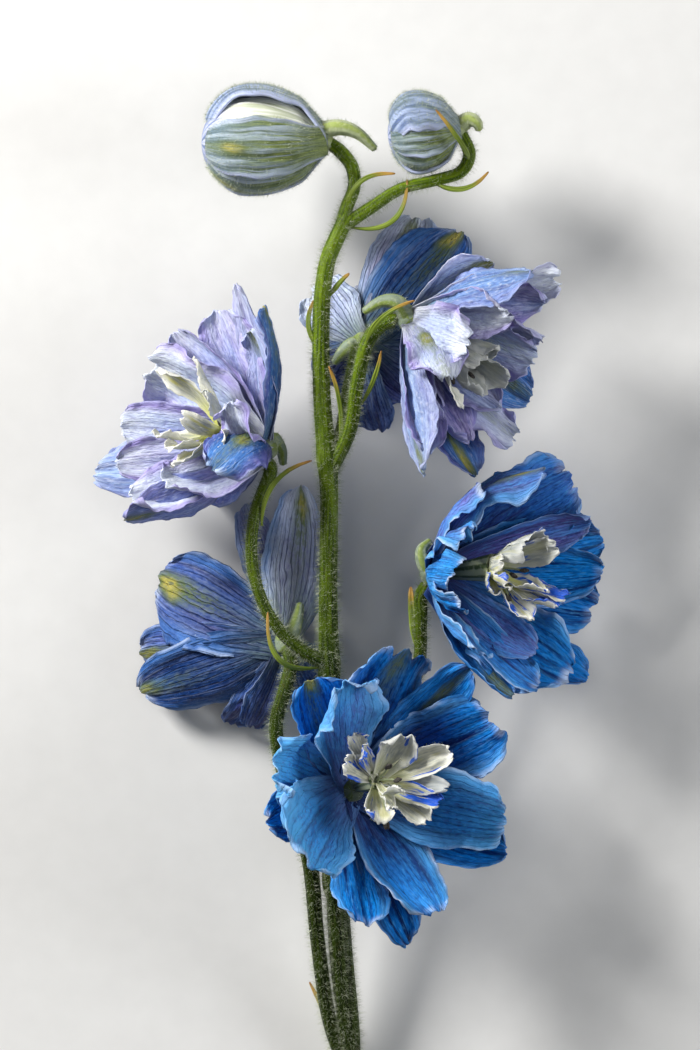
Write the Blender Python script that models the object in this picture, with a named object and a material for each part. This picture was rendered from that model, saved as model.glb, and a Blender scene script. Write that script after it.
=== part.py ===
"""A cut delphinium spike, lying on a flat surface and seen from straight above.

The spike has one hairy main stem with eight flower stalks and their thin bracts, six open
semi-double blooms and two closed buds. Each bloom is a ring of five sepals with a spur, a
second ring of ruffled petals inside it, and a pale eye of small petals on a short tube.

Places are given as a photo column, a photo row and a height above the surface in mm. The
photo plane is the surface that the spike lies on: columns run along +X, rows along -Y.
All lengths below are millimetres until a mesh is made.
"""

import math
from dataclasses import dataclass

import bmesh
import bpy
import numpy as np

METRES_PER_MM = 0.001

# Driving sizes
MM_PER_PHOTO_PIXEL = 0.225
CENTRE_COLUMN = 351.5
CENTRE_ROW = 598.0
PETAL_THICKNESS = 0.7
BRACT_THICKNESS = 0.8
EYE_PETAL_THICKNESS = 0.7
TOUCH_GAP = 0.4
HUB_RADIUS = 2.7
SEPAL_LIFT = 0.5
SEAT_RADIUS = 1.4
PETAL_ROOT_OUT = 1.2
EYE_ROOT_OUT = 0.9
EYE_ROOT_SUNK = 1.0
INWARD_LEAN = 0.4
SPUR_RADII = (1.9, 1.7, 1.3, 0.8)
TUBE_RADII = (0.8, 1.3, 2.2)
ANTHER_LENGTH = 2.2
ANTHER_RADIUS = 0.75
THREAD_RADIUS = 0.5
EYE_PETAL_FULLNESS = 1.2

# The outline of a blade and the waves on it
SPREAD_POWER = 1.2
CLOSING_POWER = 2.2
NOTCH_SHARE = 0.3
NOTCH_POWER = 6
EDGE_PHASE = 2.1
PETAL_PHASE_STEP = 2.4
EYE_PHASE_STEP = 1.7

# The profile of a bud
WIDEST_SHARE = 0.6
FOOT_SHARE = 0.36
NOSE_POWER = 2.3
BUD_END = 1.02
CORE_SHARE = 0.62
CORE_RUNS_PAST = 0.4
SEPAL_THICKNESS = 0.9
SEPAL_ENDS = (0.04, 0.97)

SHARP_ANGLE_DEGREES = 50

# Facets
ROWS_ALONG_PETAL = (0.0, 0.33, 0.64, 0.89, 1.0)
ROWS_ALONG_SMALL_PETAL = (0.0, 0.37, 0.78, 1.0)
COLUMNS_ACROSS_PETAL = 4
COLUMNS_ACROSS_SMALL_PETAL = 2
WIDE_PETAL = 14.5
NARROW_BLADE = 3.0
STEM_SIDES = 8
STALK_SIDES = 5
SPUR_SIDES = 5
TUBE_SIDES = 6
THREAD_SIDES = 4
STEPS_BETWEEN_STATIONS = 2
HUB_SIDES = 7
HUB_RINGS = 5
ANTHER_SIDES = 5
ANTHER_RINGS = 3
BUD_CORE_SIDES = 6
BUD_CORE_RINGS = (0.0, 0.3, 0.6, 0.85, 1.0)
SEPAL_ROWS = 4
SEPAL_COLUMNS = 2


@dataclass
class Petal:
    """One blade from the hub of its bloom to its tip."""

    tip: tuple
    width: float
    facing: tuple = None
    cup: float = 0.5
    bow: float = 2.5
    sway: float = 0.0
    ruffle: float = 0.8
    waves: float = 1.4
    belly: float = 0.62
    blunt: float = 0.3
    neck: float = 0.32
    notch: float = 0.0
    thickness: float = PETAL_THICKNESS


@dataclass
class Bloom:
    """One open bloom: its hub, the way it faces, its petals, spur and eye."""

    name: str
    hub: tuple
    axis: tuple
    petals: list
    spur: list
    tube_end: tuple
    eye_petals: list
    anthers: list
    colour: tuple


def eye_petal(tip, width):
    """One small stiff petal of the pale eye."""
    return Petal(
        tip=tip,
        width=width * EYE_PETAL_FULLNESS,
        bow=1.2,
        cup=0.6,
        ruffle=0.3,
        belly=0.68,
        neck=0.3,
        blunt=0.5,
        thickness=EYE_PETAL_THICKNESS,
    )


LOW_BLOOM = Bloom(
    name="low_bloom",
    hub=(352, 790, 27),
    axis=(0.55, 0.07, 0.83),
    petals=[
        Petal(tip=(318, 675, 40), width=15, cup=0.35, blunt=0.5),
        Petal(tip=(273, 818, 43), width=13, cup=0.5),
        Petal(tip=(404, 650, 34), width=17, cup=0.25, blunt=0.6, notch=2.0),
        Petal(tip=(507, 852, 23), width=17, cup=0.5, bow=3.5),
        Petal(tip=(404, 936, 32), width=11, cup=0.5, blunt=0.25),
        Petal(tip=(470, 670, 29), width=10, cup=0.4),
        Petal(tip=(341, 680, 47), width=17, cup=0.55, ruffle=1.2, blunt=0.45),
        Petal(tip=(273, 764, 50), width=14, cup=0.3, ruffle=1.2, blunt=0.6),
        Petal(tip=(308, 852, 50), width=21, cup=0.45, ruffle=1.0, belly=0.74, blunt=0.55),
        Petal(tip=(496, 722, 28), width=20, cup=0.35, blunt=0.55, notch=1.5),
        Petal(tip=(506, 822, 29), width=17, cup=0.35, blunt=0.55),
        Petal(tip=(434, 910, 35), width=14, cup=0.3, blunt=0.45),
        Petal(tip=(366, 916, 40), width=12.5, cup=0.3, blunt=0.4),
    ],
    spur=[(352, 790, 27), (340, 779, 24.5), (328, 772, 24.3), (315, 768, 24.8)],
    tube_end=(379, 777, 39),
    eye_petals=[
        eye_petal(tip=(350, 731, 43), width=4.6),
        eye_petal(tip=(345, 757, 45), width=4.6),
        eye_petal(tip=(405, 732, 43), width=6.5),
        eye_petal(tip=(450, 748, 42), width=5.0),
        eye_petal(tip=(440, 797, 42), width=4.6),
        eye_petal(tip=(428, 819, 42), width=4.2),
        eye_petal(tip=(379, 819, 44), width=5.6),
        eye_petal(tip=(403, 787, 48), width=2.2),
    ],
    anthers=[(388, 764, 43), (397, 777, 44), (386, 822, 40)],
    colour=(0.045, 0.16, 0.60),
)

LEFT_BLOOM = Bloom(
    name="left_bloom",
    hub=(266, 449, 27),
    axis=(-0.9, 0.1, 0.4),
    petals=[
        Petal(tip=(126, 520, 32), width=15, facing=(-0.1, 0.8, -0.5), cup=0.6, blunt=0.35),
        Petal(tip=(95, 470, 20), width=14, cup=0.5, blunt=0.5),
        Petal(tip=(263, 310, 31), width=14, facing=(-0.95, 0.0, -0.3), cup=0.5, blunt=0.4),
        Petal(tip=(135, 411, 6), width=11, cup=0.4),
        Petal(tip=(190, 470, 1), width=16, cup=0.4, bow=4.0),
        Petal(tip=(212, 468, 43), width=15, facing=(-0.3, 0.35, 0.9), cup=-0.7, bow=-6.5, neck=0.2),
        Petal(tip=(131, 498, 35), width=13, facing=(-0.3, 0.55, 0.78), cup=0.4, blunt=0.5),
        Petal(tip=(166, 486, 39), width=11, facing=(-0.3, 0.5, 0.8), cup=0.3, blunt=0.5),
        Petal(tip=(118, 463, 28), width=10, facing=(-0.2, 0.3, 0.93), cup=0.4),
        Petal(tip=(121, 428, 22), width=13, cup=0.3, blunt=0.55),
        Petal(tip=(147, 360, 19), width=17, cup=0.3, blunt=0.6, notch=1.5, ruffle=1.2),
        Petal(tip=(176, 332, 23), width=12, facing=(-0.35, -0.5, 0.8), cup=0.4, blunt=0.4),
        Petal(tip=(219, 312, 24), width=14, facing=(-0.5, -0.2, 0.85), cup=0.45, blunt=0.5),
        Petal(tip=(237, 286, 27), width=8, facing=(-0.6, -0.1, 0.8), cup=0.3),
        Petal(tip=(229, 406, 43), width=9, facing=(-0.5, -0.3, 0.8), bow=-3.0, neck=0.2),
    ],
    spur=[(266, 449, 27), (274, 440, 24), (281, 450, 22), (283, 464, 21)],
    tube_end=(219, 430, 31.5),
    eye_petals=[
        eye_petal(tip=(160, 372, 33), width=4.2),
        eye_petal(tip=(195, 360, 35), width=4.0),
        eye_petal(tip=(208, 391, 39), width=4.0),
        eye_petal(tip=(160, 436, 35), width=4.2),
        eye_petal(tip=(168, 448, 37), width=3.6),
        eye_petal(tip=(174, 463, 39), width=3.6),
    ],
    anthers=[(186, 430, 37), (205, 421, 38)],
    colour=(0.42, 0.40, 0.78),
)

BACK_BLOOM = Bloom(
    name="back_bloom",
    hub=(286, 643, 21),
    axis=(-0.35, 0.1, -0.93),
    petals=[
        Petal(tip=(157, 580, 7), width=21, cup=0.5, blunt=0.6, belly=0.7),
        Petal(tip=(146, 693, 5), width=17, cup=0.5, blunt=0.25, belly=0.6),
        Petal(tip=(301, 489, 11), width=15.5, cup=0.5, blunt=0.2, belly=0.5),
        Petal(tip=(252, 732, 8), width=9, cup=0.3, blunt=0.5),
        Petal(tip=(318, 690, 4), width=14, cup=0.5),
        Petal(tip=(141, 655, 3), width=13, cup=0.3, blunt=0.5),
        Petal(tip=(228, 728, 5), width=9, cup=0.4, blunt=0.4),
        Petal(tip=(247, 502, 5), width=10, cup=0.3, blunt=0.35),
        Petal(tip=(190, 640, 0.6), width=12, cup=0.3),
        Petal(tip=(305, 565, 2.5), width=10, cup=0.3),
    ],
    spur=[(286, 643, 21), (292, 632, 23), (297, 618, 23), (300, 604, 22)],
    tube_end=(272, 640, 12.5),
    eye_petals=[
        eye_petal(tip=(232, 655, 6), width=4.4),
        eye_petal(tip=(245, 605, 6), width=4.4),
        eye_petal(tip=(292, 600, 6), width=4.4),
        eye_petal(tip=(300, 655, 6), width=4.4),
        eye_petal(tip=(265, 678, 6), width=4.4),
    ],
    anthers=[(262, 640, 8)],
    colour=(0.10, 0.17, 0.62),
)

RIGHT_BLOOM = Bloom(
    name="right_bloom",
    hub=(432, 574, 25),
    axis=(0.88, -0.03, 0.42),
    petals=[
        Petal(tip=(543, 470, 31), width=12, facing=(0.3, -0.8, -0.4), cup=0.6, blunt=0.4),
        Petal(tip=(600, 610, 8), width=14, cup=0.3, blunt=0.6, notch=1.5),
        Petal(tip=(588, 681, 14), width=12, cup=0.3, blunt=0.4),
        Petal(tip=(510, 699, 30), width=14, facing=(0.4, 0.6, 0.5), cup=0.55, blunt=0.3),
        Petal(tip=(604, 538, 13), width=15, cup=0.3, blunt=0.5),
        Petal(tip=(572, 478, 22), width=20, facing=(0.1, -0.45, 0.9), cup=0.35, blunt=0.6),
        Petal(tip=(591, 521, 20), width=9, cup=0.4, blunt=0.5),
        Petal(tip=(604, 572, 15), width=13, cup=0.3, blunt=0.35),
        Petal(tip=(571, 672, 24), width=19, facing=(0.1, 0.4, 0.9), cup=0.3, blunt=0.55),
        Petal(tip=(538, 684, 30), width=9, facing=(0.3, 0.3, 0.9), cup=0.5, blunt=0.3),
        Petal(tip=(535, 655, 29), width=10, facing=(0.2, 0.3, 0.9), cup=0.3, blunt=0.4),
        Petal(tip=(482, 652, 39), width=8, facing=(0.8, 0.3, 0.5), cup=0.7, blunt=0.5),
        Petal(tip=(481, 489, 36), width=7, facing=(0.9, -0.3, 0.3), cup=0.7, blunt=0.2),
        Petal(tip=(471, 524, 41), width=10, facing=(0.7, -0.4, 0.6), cup=0.6),
        Petal(tip=(460, 590, 43), width=10, facing=(0.8, 0.1, 0.6), cup=0.6),
        Petal(tip=(525, 585, 0.7), width=16, cup=0.4, bow=4.0),
    ],
    spur=[(432, 574, 25), (424, 562, 26), (422, 550, 26), (430, 541, 25)],
    tube_end=(494, 567, 34),
    eye_petals=[
        eye_petal(tip=(546, 532, 37), width=4.4),
        eye_petal(tip=(557, 547, 37), width=4.4),
        eye_petal(tip=(492, 592, 39), width=4.8),
        eye_petal(tip=(531, 621, 37), width=4.8),
        eye_petal(tip=(556, 606, 37), width=4.2),
        eye_petal(tip=(566, 597, 36), width=3.4),
    ],
    anthers=[(512, 575, 39), (523, 570, 38), (507, 597, 36)],
    colour=(0.06, 0.20, 0.60),
)

UPPER_FRONT_BLOOM = Bloom(
    name="upper_front_bloom",
    hub=(409, 321, 34),
    axis=(0.8, -0.57, 0.15),
    petals=[
        Petal(tip=(530, 273, 36), width=15, facing=(0.1, -0.85, -0.45), cup=0.6, blunt=0.4),
        Petal(tip=(428, 472, 38), width=14, facing=(0.85, 0.2, -0.4), cup=0.6, blunt=0.25),
        Petal(tip=(474, 477, 24), width=13, cup=0.5, blunt=0.35),
        Petal(tip=(531, 396, 17), width=13, cup=0.5, blunt=0.5),
        Petal(tip=(492, 263, 26), width=10, facing=(0.2, -0.5, 0.8), cup=0.4),
        Petal(tip=(560, 280, 30), width=9, facing=(0.1, -0.6, 0.8), cup=0.4),
        Petal(tip=(544, 302, 31), width=12, facing=(0.2, -0.5, 0.8), cup=0.5),
        Petal(tip=(542, 338, 26), width=10, cup=0.4),
        Petal(tip=(535, 362, 23), width=12, cup=0.4, blunt=0.5),
        Petal(tip=(505, 315, 40), width=12, facing=(0.0, -0.5, 0.85), cup=0.6),
        Petal(
            tip=(446, 372, 46),
            width=16,
            facing=(0.3, -0.1, 0.9),
            cup=-0.4,
            blunt=0.6,
            bow=-3.5,
            neck=0.3,
        ),
        Petal(tip=(428, 450, 41), width=11, facing=(0.6, 0.1, 0.8), cup=0.7),
        Petal(tip=(467, 444, 31), width=13, facing=(0.4, 0.5, 0.8), cup=0.4),
        Petal(tip=(514, 438, 23), width=13, facing=(0.1, 0.6, 0.8), cup=0.3, blunt=0.5),
    ],
    spur=[(409, 321, 34), (398, 305, 36.6), (382, 303, 36.4), (364, 313, 35.5)],
    tube_end=(447, 353, 36),
    eye_petals=[
        eye_petal(tip=(502, 345, 37), width=5.0),
        eye_petal(tip=(508, 384, 36), width=5.0),
        eye_petal(tip=(478, 368, 42), width=3.0),
        eye_petal(tip=(461, 408, 37), width=4.2),
        eye_petal(tip=(483, 398, 36), width=4.6),
    ],
    anthers=[(452, 381, 39), (470, 376, 38)],
    colour=(0.40, 0.42, 0.80),
)

UPPER_BACK_BLOOM = Bloom(
    name="upper_back_bloom",
    hub=(362, 343, 16),
    axis=(0.25, 0.25, -0.93),
    petals=[
        Petal(tip=(461, 229, 9), width=17, cup=0.5, blunt=0.3, belly=0.55),
        Petal(tip=(319, 288, 8), width=15, cup=0.4, blunt=0.6),
        Petal(tip=(318, 378, 7), width=13, cup=0.4, blunt=0.5),
        Petal(tip=(378, 432, 6), width=10, cup=0.3, blunt=0.6),
        Petal(tip=(470, 350, 3), width=15, cup=0.5),
        Petal(tip=(418, 213, 5), width=13, cup=0.3, blunt=0.6, notch=2.0),
        Petal(tip=(358, 280, 5), width=12, cup=0.3, blunt=0.6),
        Petal(tip=(430, 400, 1), width=12, cup=0.3),
    ],
    spur=[(362, 343, 16), (351, 345, 17), (342, 352, 17), (334, 362, 16.5)],
    tube_end=(368, 336, 8.5),
    eye_petals=[
        eye_petal(tip=(400, 318, 4), width=4.2),
        eye_petal(tip=(372, 300, 4), width=4.2),
        eye_petal(tip=(340, 320, 4), width=4.2),
        eye_petal(tip=(350, 365, 4), width=4.2),
        eye_petal(tip=(394, 360, 4), width=4.2),
    ],
    anthers=[(372, 334, 4)],
    colour=(0.18, 0.26, 0.66),
)

BLOOMS = [
    LOW_BLOOM,
    LEFT_BLOOM,
    BACK_BLOOM,
    RIGHT_BLOOM,
    UPPER_FRONT_BLOOM,
    UPPER_BACK_BLOOM,
]

# Stem and stalks: column, row, height, radius
MAIN_STEM = [
    (350, 1106, 2.3, 2.3),
    (349, 1040, 6.5, 2.4),
    (341, 960, 11, 2.6),
    (336, 880, 15, 2.4),
    (331, 780, 19, 2.2),
    (329, 670, 23, 2.35),
    (328, 600, 25, 2.05),
    (329, 500, 27, 2.0),
    (327, 458, 27.5, 2.2),
    (322, 400, 28, 1.95),
    (321, 320, 28.5, 1.9),
    (326, 268, 29, 1.8),
    (337, 238, 29, 1.8),
    (348, 216, 29, 1.6),
]
STALKS = {
    "left_bloom": [
        (328, 664, 23.5, 1.8),
        (303, 651, 26, 1.5),
        (280, 630, 27, 1.35),
        (262, 600, 27.5, 1.3),
        (252, 560, 28, 1.3),
        (255, 515, 28, 1.35),
        (270, 474, 24.8, 1.5),
    ],
    "back_bloom": [
        (345, 1075, 4.5, 1.5),
        (328, 1020, 8.5, 1.6),
        (317, 940, 14, 1.6),
        (309, 860, 18.5, 1.7),
        (288, 790, 22, 1.6),
        (276, 731, 25, 1.5),
        (285, 690, 26, 1.5),
        (291, 665, 25.2, 1.5),
    ],
    "low_bloom": [
        (346, 1050, 7, 1.4),
        (340, 980, 12, 1.5),
        (334, 900, 17.5, 1.5),
        (331, 850, 21, 1.5),
        (338, 812, 23.5, 1.5),
    ],
    "right_bloom": [
        (333, 800, 18.5, 1.7),
        (362, 770, 18.5, 1.5),
        (395, 730, 19, 1.4),
        (418, 670, 20, 1.4),
        (421, 620, 22, 1.4),
        (421, 597, 22.6, 1.5),
    ],
    "upper_front_bloom": [
        (331, 470, 27.5, 1.6),
        (350, 430, 30, 1.5),
        (357, 385, 32, 1.5),
        (366, 346, 33.5, 1.55),
        (380, 327, 34, 1.6),
        (392, 321, 34, 1.7),
    ],
    "upper_back_bloom": [
        (330, 470, 26.8, 1.5),
        (341, 430, 26, 1.3),
        (347, 395, 24, 1.3),
        (355, 354, 21.8, 1.3),
    ],
    "bud_left": [
        (340, 234, 29, 1.5),
        (346, 210, 29, 1.45),
        (354, 188, 29, 1.4),
        (352, 168, 29, 1.45),
        (341, 153, 29, 1.5),
    ],
    "bud_right": [
        (344, 226, 29, 1.5),
        (370, 209, 29, 1.4),
        (400, 190, 29, 1.3),
        (435, 181, 29, 1.3),
        (460, 173, 29, 1.35),
        (469, 155, 29, 1.4),
    ],
}


@dataclass
class Bract:
    """One thin leaf on the stem: its root, middle and tip."""

    root: tuple
    middle: tuple
    tip: tuple
    width: float = 1.5


BRACTS = [
    Bract((345, 214, 29.5), (359, 184, 31), (395, 175, 31)),
    Bract((350, 228, 29), (385, 228, 29.5), (407, 181, 30)),
    Bract((432, 182, 29), (462, 190, 30), (488, 173, 30)),
    Bract((468, 160, 30), (457, 142, 39.2), (435, 114, 41)),
    Bract((320, 350, 28.5), (309, 328, 29), (315, 300, 28)),
    Bract((330, 296, 28.5), (338, 285, 29), (349, 274, 29)),
    Bract((338, 458, 28), (341, 412, 29), (329, 367, 31)),
    Bract((361, 405, 31), (376, 374, 33), (381, 352, 35), 1.4),
    Bract((365, 348, 34), (384, 317, 39.2), (414, 303, 41.5)),
    Bract((262, 526, 28.5), (279, 478, 30), (312, 461, 31)),
    Bract((320, 667, 24), (280, 660, 29.2), (268, 612, 29.8)),
    Bract((418, 650, 20.5), (413, 620, 21.5), (411, 587, 22), 2.4),
    Bract((338, 1062, 5.5), (325, 1022, 5.5), (309, 988, 5)),
    Bract((327, 900, 16), (324, 878, 17.5), (329, 857, 19), 1.2),
]


@dataclass
class Bud:
    """One closed bud: its two ends, girth, the turn and width of each sepal, and its spur."""

    name: str
    foot: tuple
    nose: tuple
    girth: float
    seat: float
    sepals: tuple
    spur: list


BUDS = [
    Bud(
        name="bud_left",
        foot=(327, 142, 29),
        nose=(206, 144, 29),
        girth=23.0,
        seat=1.6,
        sepals=((98, 17), (-9, 11.5), (-78, 17), (-140, 14), (158, 14)),
        spur=[(318, 132, 30), (340, 129, 31), (358, 135, 31), (375, 150, 30)],
    ),
    Bud(
        name="bud_right",
        foot=(459, 130, 29),
        nose=(391, 138, 29),
        girth=16.5,
        seat=3.6,
        sepals=((58, 15), (-8, 8), (-62, 11), (-125, 11), (165, 11)),
        spur=[(458, 128, 29), (468, 121, 29.5), (476, 124, 30), (479, 131, 29.5)],
    ),
]


def place(column, row, height):
    """A photo column and row and a height in mm, as a point in mm."""
    across = (column - CENTRE_COLUMN) * MM_PER_PHOTO_PIXEL
    up = (CENTRE_ROW - row) * MM_PER_PHOTO_PIXEL
    return np.array((across, up, height), dtype=float)


def unit(vector):
    vector = np.asarray(vector, dtype=float)
    return vector / np.linalg.norm(vector)


def smooth_path(points):
    """Points along a Catmull-Rom curve that passes through every given point."""
    points = [np.asarray(point, dtype=float) for point in points]
    padded = [2 * points[0] - points[1], *points, 2 * points[-1] - points[-2]]
    path = []
    for before, start, end, after in zip(padded, padded[1:], padded[2:], padded[3:]):
        for step in range(STEPS_BETWEEN_STATIONS):
            t = step / STEPS_BETWEEN_STATIONS
            path.append(
                0.5
                * (
                    2 * start
                    + (end - before) * t
                    + (2 * before - 5 * start + 4 * end - after) * t**2
                    + (3 * start - before - 3 * end + after) * t**3
                )
            )
    path.append(points[-1])
    return np.array(path)


def tube(path, radii, sides):
    """A closed tube of rings with flat ends. Returns its points and triangles."""
    tangents = np.gradient(path, axis=0)
    side = unit(np.cross(tangents[0], (0.0, 0.0, 1.0)))
    points = []
    for centre, tangent, radius in zip(path, tangents, radii):
        along = unit(tangent)
        side = unit(side - along * np.dot(side, along))
        other = np.cross(along, side)
        for corner in range(sides):
            angle = 2 * math.pi * corner / sides
            points.append(centre + radius * (math.cos(angle) * side + math.sin(angle) * other))
    faces = []
    for ring in range(len(path) - 1):
        for corner in range(sides):
            a = ring * sides + corner
            b = ring * sides + (corner + 1) % sides
            faces.append((a, b, b + sides))
            faces.append((a, b + sides, a + sides))
    last = (len(path) - 1) * sides
    faces.append(tuple(reversed(range(sides))))
    faces.append(tuple(range(last, last + sides)))
    return points, faces


def ball(centre, axis, half_length, radius, sides, rings):
    """A closed egg along an axis. Returns its points and faces."""
    along = unit(axis)
    side = unit(np.cross(along, (0.3, 0.2, 0.9)))
    other = np.cross(along, side)
    points = [centre - along * half_length]
    for ring in range(1, rings):
        polar = math.pi * ring / rings
        middle = centre - along * half_length * math.cos(polar)
        for corner in range(sides):
            angle = 2 * math.pi * corner / sides
            out = math.cos(angle) * side + math.sin(angle) * other
            points.append(middle + radius * math.sin(polar) * out)
    points.append(centre + along * half_length)
    top = len(points) - 1
    faces = []
    for corner in range(sides):
        following = (corner + 1) % sides
        faces.append((0, 1 + following, 1 + corner))
        faces.append((top, top - sides + corner, top - sides + following))
        for ring in range(rings - 2):
            a = 1 + ring * sides + corner
            b = 1 + ring * sides + following
            faces.append((a, b, b + sides))
            faces.append((a, b + sides, a + sides))
    return points, faces


def half_width(petal, along):
    """Half the blade's width at a share of its length."""
    grown = np.clip(along / petal.belly, 0.0, 1.0)
    spread = petal.neck + (1 - petal.neck) * np.sin(grown * math.pi / 2) ** SPREAD_POWER
    past = np.clip((along - petal.belly) / (1 - petal.belly), 0.0, 1.0)
    rounded = np.sqrt(np.clip(1 - past**CLOSING_POWER, 0.0, 1.0))
    closing = petal.blunt + (1 - petal.blunt) * rounded
    return 0.5 * petal.width * spread * closing


def petal_surface(petal, root, axis, phase, rows, columns):
    """The middle surface of a blade, as a grid of points, and its unit normals."""
    tip = place(*petal.tip)
    reach = tip - root
    outward = reach - axis * np.dot(reach, axis)
    if petal.facing is None:
        facing = unit(axis - INWARD_LEAN * unit(outward))
    else:
        facing = unit(petal.facing)
    across = unit(np.cross(reach, facing))
    facing = unit(np.cross(across, reach))
    middle = (root + tip) / 2 - facing * petal.bow + across * petal.sway
    bend = 2 * middle - (root + tip) / 2
    grid = np.zeros((len(rows), columns + 1, 3))
    for index, along in enumerate(rows):
        centre = (1 - along) ** 2 * root + 2 * along * (1 - along) * bend + along**2 * tip
        tangent = unit(2 * (1 - along) * (bend - root) + 2 * along * (tip - bend))
        side = unit(np.cross(tangent, facing))
        normal = np.cross(side, tangent)
        half = half_width(petal, along)
        for column in range(columns + 1):
            v = 2 * column / columns - 1
            angle = petal.cup * v
            flat = half * math.sin(angle) / petal.cup
            rise = half * (1 - math.cos(angle)) / petal.cup
            edge_phase = EDGE_PHASE * (v < 0)
            wave = math.sin(2 * math.pi * petal.waves * along + phase + edge_phase)
            rise += petal.ruffle * v * v * along * wave
            pulled = petal.notch * math.exp(-((v / NOTCH_SHARE) ** 2)) * along**NOTCH_POWER
            point = centre + side * flat + normal * rise - tangent * pulled
            grid[index, column] = point
    return grid, grid_normals(grid)


def grid_normals(grid):
    """The unit normal at every point of a grid."""
    down = np.gradient(grid, axis=0)
    sideways = np.gradient(grid, axis=1)
    normals = np.cross(sideways, down)
    return normals / np.linalg.norm(normals, axis=2, keepdims=True)


def close_blade(upper_grid, lower_grid):
    """Close two like grids of points into one blade."""
    rows, wide_count = upper_grid.shape[:2]
    upper = upper_grid.reshape(-1, 3)
    lower = lower_grid.reshape(-1, 3)
    total = len(upper)
    columns = wide_count - 1
    faces = []
    for row in range(rows - 1):
        for column in range(columns):
            a = row * wide_count + column
            b, c, d = a + 1, a + wide_count + 1, a + wide_count
            faces += [(a, b, c), (a, c, d)]
            faces += [(total + c, total + b, total + a), (total + d, total + c, total + a)]
    rim = list(range(wide_count))
    rim += [row * wide_count + columns for row in range(1, rows)]
    rim += [total - 1 - column for column in range(1, wide_count)]
    rim += [row * wide_count for row in range(rows - 2, 0, -1)]
    for first, second in zip(rim, rim[1:] + rim[:1]):
        faces += [(first, total + first, total + second), (first, total + second, second)]
    return np.vstack((upper, lower)), faces


def blade(petal, root, axis, phase):
    """A closed blade with like triangles on both faces. Returns points and triangles."""
    wide = petal.width >= WIDE_PETAL
    rows = ROWS_ALONG_PETAL if wide else ROWS_ALONG_SMALL_PETAL
    columns = COLUMNS_ACROSS_PETAL if wide else COLUMNS_ACROSS_SMALL_PETAL
    if petal.width < NARROW_BLADE:
        columns = 1
    grid, normals = petal_surface(petal, root, axis, phase, rows, columns)
    offset = normals * petal.thickness / 2
    return close_blade(grid + offset, grid - offset)


def material(name, colour, roughness=0.6):
    made = bpy.data.materials.new(name)
    made.use_nodes = True
    shader = made.node_tree.nodes["Principled BSDF"]
    shader.inputs["Base Color"].default_value = (*colour, 1.0)
    shader.inputs["Roughness"].default_value = roughness
    made.diffuse_color = (*colour, 1.0)
    return made


def solid(name, points, faces, collection):
    """A mesh object in metres from points in mm, with its faces turned outward."""
    mesh = bpy.data.meshes.new(name)
    mesh.from_pydata([tuple(METRES_PER_MM * np.asarray(p)) for p in points], [], faces)
    work = bmesh.new()
    work.from_mesh(mesh)
    bmesh.ops.triangulate(work, faces=[face for face in work.faces if len(face.verts) > 4])
    bmesh.ops.recalc_face_normals(work, faces=work.faces)
    if work.calc_volume(signed=True) < 0:
        bmesh.ops.reverse_faces(work, faces=work.faces)
    work.to_mesh(mesh)
    work.free()
    made = bpy.data.objects.new(name, mesh)
    collection.objects.link(made)
    return made


def keep_outer_shell(mesh):
    """Keep the largest closed shell: fills sealed pockets and drops loose scraps."""
    work = bmesh.new()
    work.from_mesh(mesh)
    bmesh.ops.triangulate(work, faces=work.faces)
    unseen = set(work.verts)
    shells = []
    while unseen:
        stack = [unseen.pop()]
        shell = set(stack)
        while stack:
            for edge in stack.pop().link_edges:
                for vertex in edge.verts:
                    if vertex in unseen:
                        unseen.discard(vertex)
                        shell.add(vertex)
                        stack.append(vertex)
        shells.append(shell)
    shells.sort(key=len)
    dropped = [vertex for shell in shells[:-1] for vertex in shell]
    bmesh.ops.delete(work, geom=dropped, context="VERTS")
    work.to_mesh(mesh)
    work.free()


def fuse(name, shapes, look):
    """One closed body: the union of all the given shapes."""
    scene_collection = bpy.context.scene.collection
    others = bpy.data.collections.new(name + "_others")
    scene_collection.children.link(others)
    body = solid(name, *shapes[0], scene_collection)
    for index, shape in enumerate(shapes[1:]):
        solid(f"{name}_piece_{index}", *shape, others)
    union = body.modifiers.new("union", "BOOLEAN")
    union.operation = "UNION"
    union.operand_type = "COLLECTION"
    union.collection = others
    union.solver = "EXACT"
    graph = bpy.context.evaluated_depsgraph_get()
    joined = bpy.data.meshes.new_from_object(body.evaluated_get(graph))
    body.modifiers.clear()
    body.data = joined
    for piece in list(others.objects):
        bpy.data.objects.remove(piece)
    bpy.data.collections.remove(others)
    keep_outer_shell(joined)
    joined.name = name
    joined.materials.clear()
    joined.materials.append(look)
    joined.shade_smooth()
    joined.set_sharp_from_angle(angle=math.radians(SHARP_ANGLE_DEGREES))
    return body


def tapered(spots, radii, sides):
    """A tube through the given places with its radius eased along it."""
    stations = [(*place(*spot), radius) for spot, radius in zip(spots, radii)]
    path = smooth_path(stations)
    return tube(path[:, :3], path[:, 3], sides)


def build_stem():
    """The main stem with every flower stalk and bract grown onto it."""
    spots = [station[:3] for station in MAIN_STEM]
    radii = [station[3] for station in MAIN_STEM]
    shapes = [tapered(spots, radii, STEM_SIDES)]
    seats = {bloom.name: (bloom.hub, HUB_RADIUS) for bloom in BLOOMS}
    seats.update({bud.name: (bud.foot, bud.seat) for bud in BUDS})
    for carried, stations in STALKS.items():
        shapes.append(stalk_shape(stations, *seats[carried]))
    shapes += [bract_shape(bract) for bract in BRACTS]
    return fuse("stem", shapes, material("stem_green", (0.16, 0.24, 0.05)))


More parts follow.
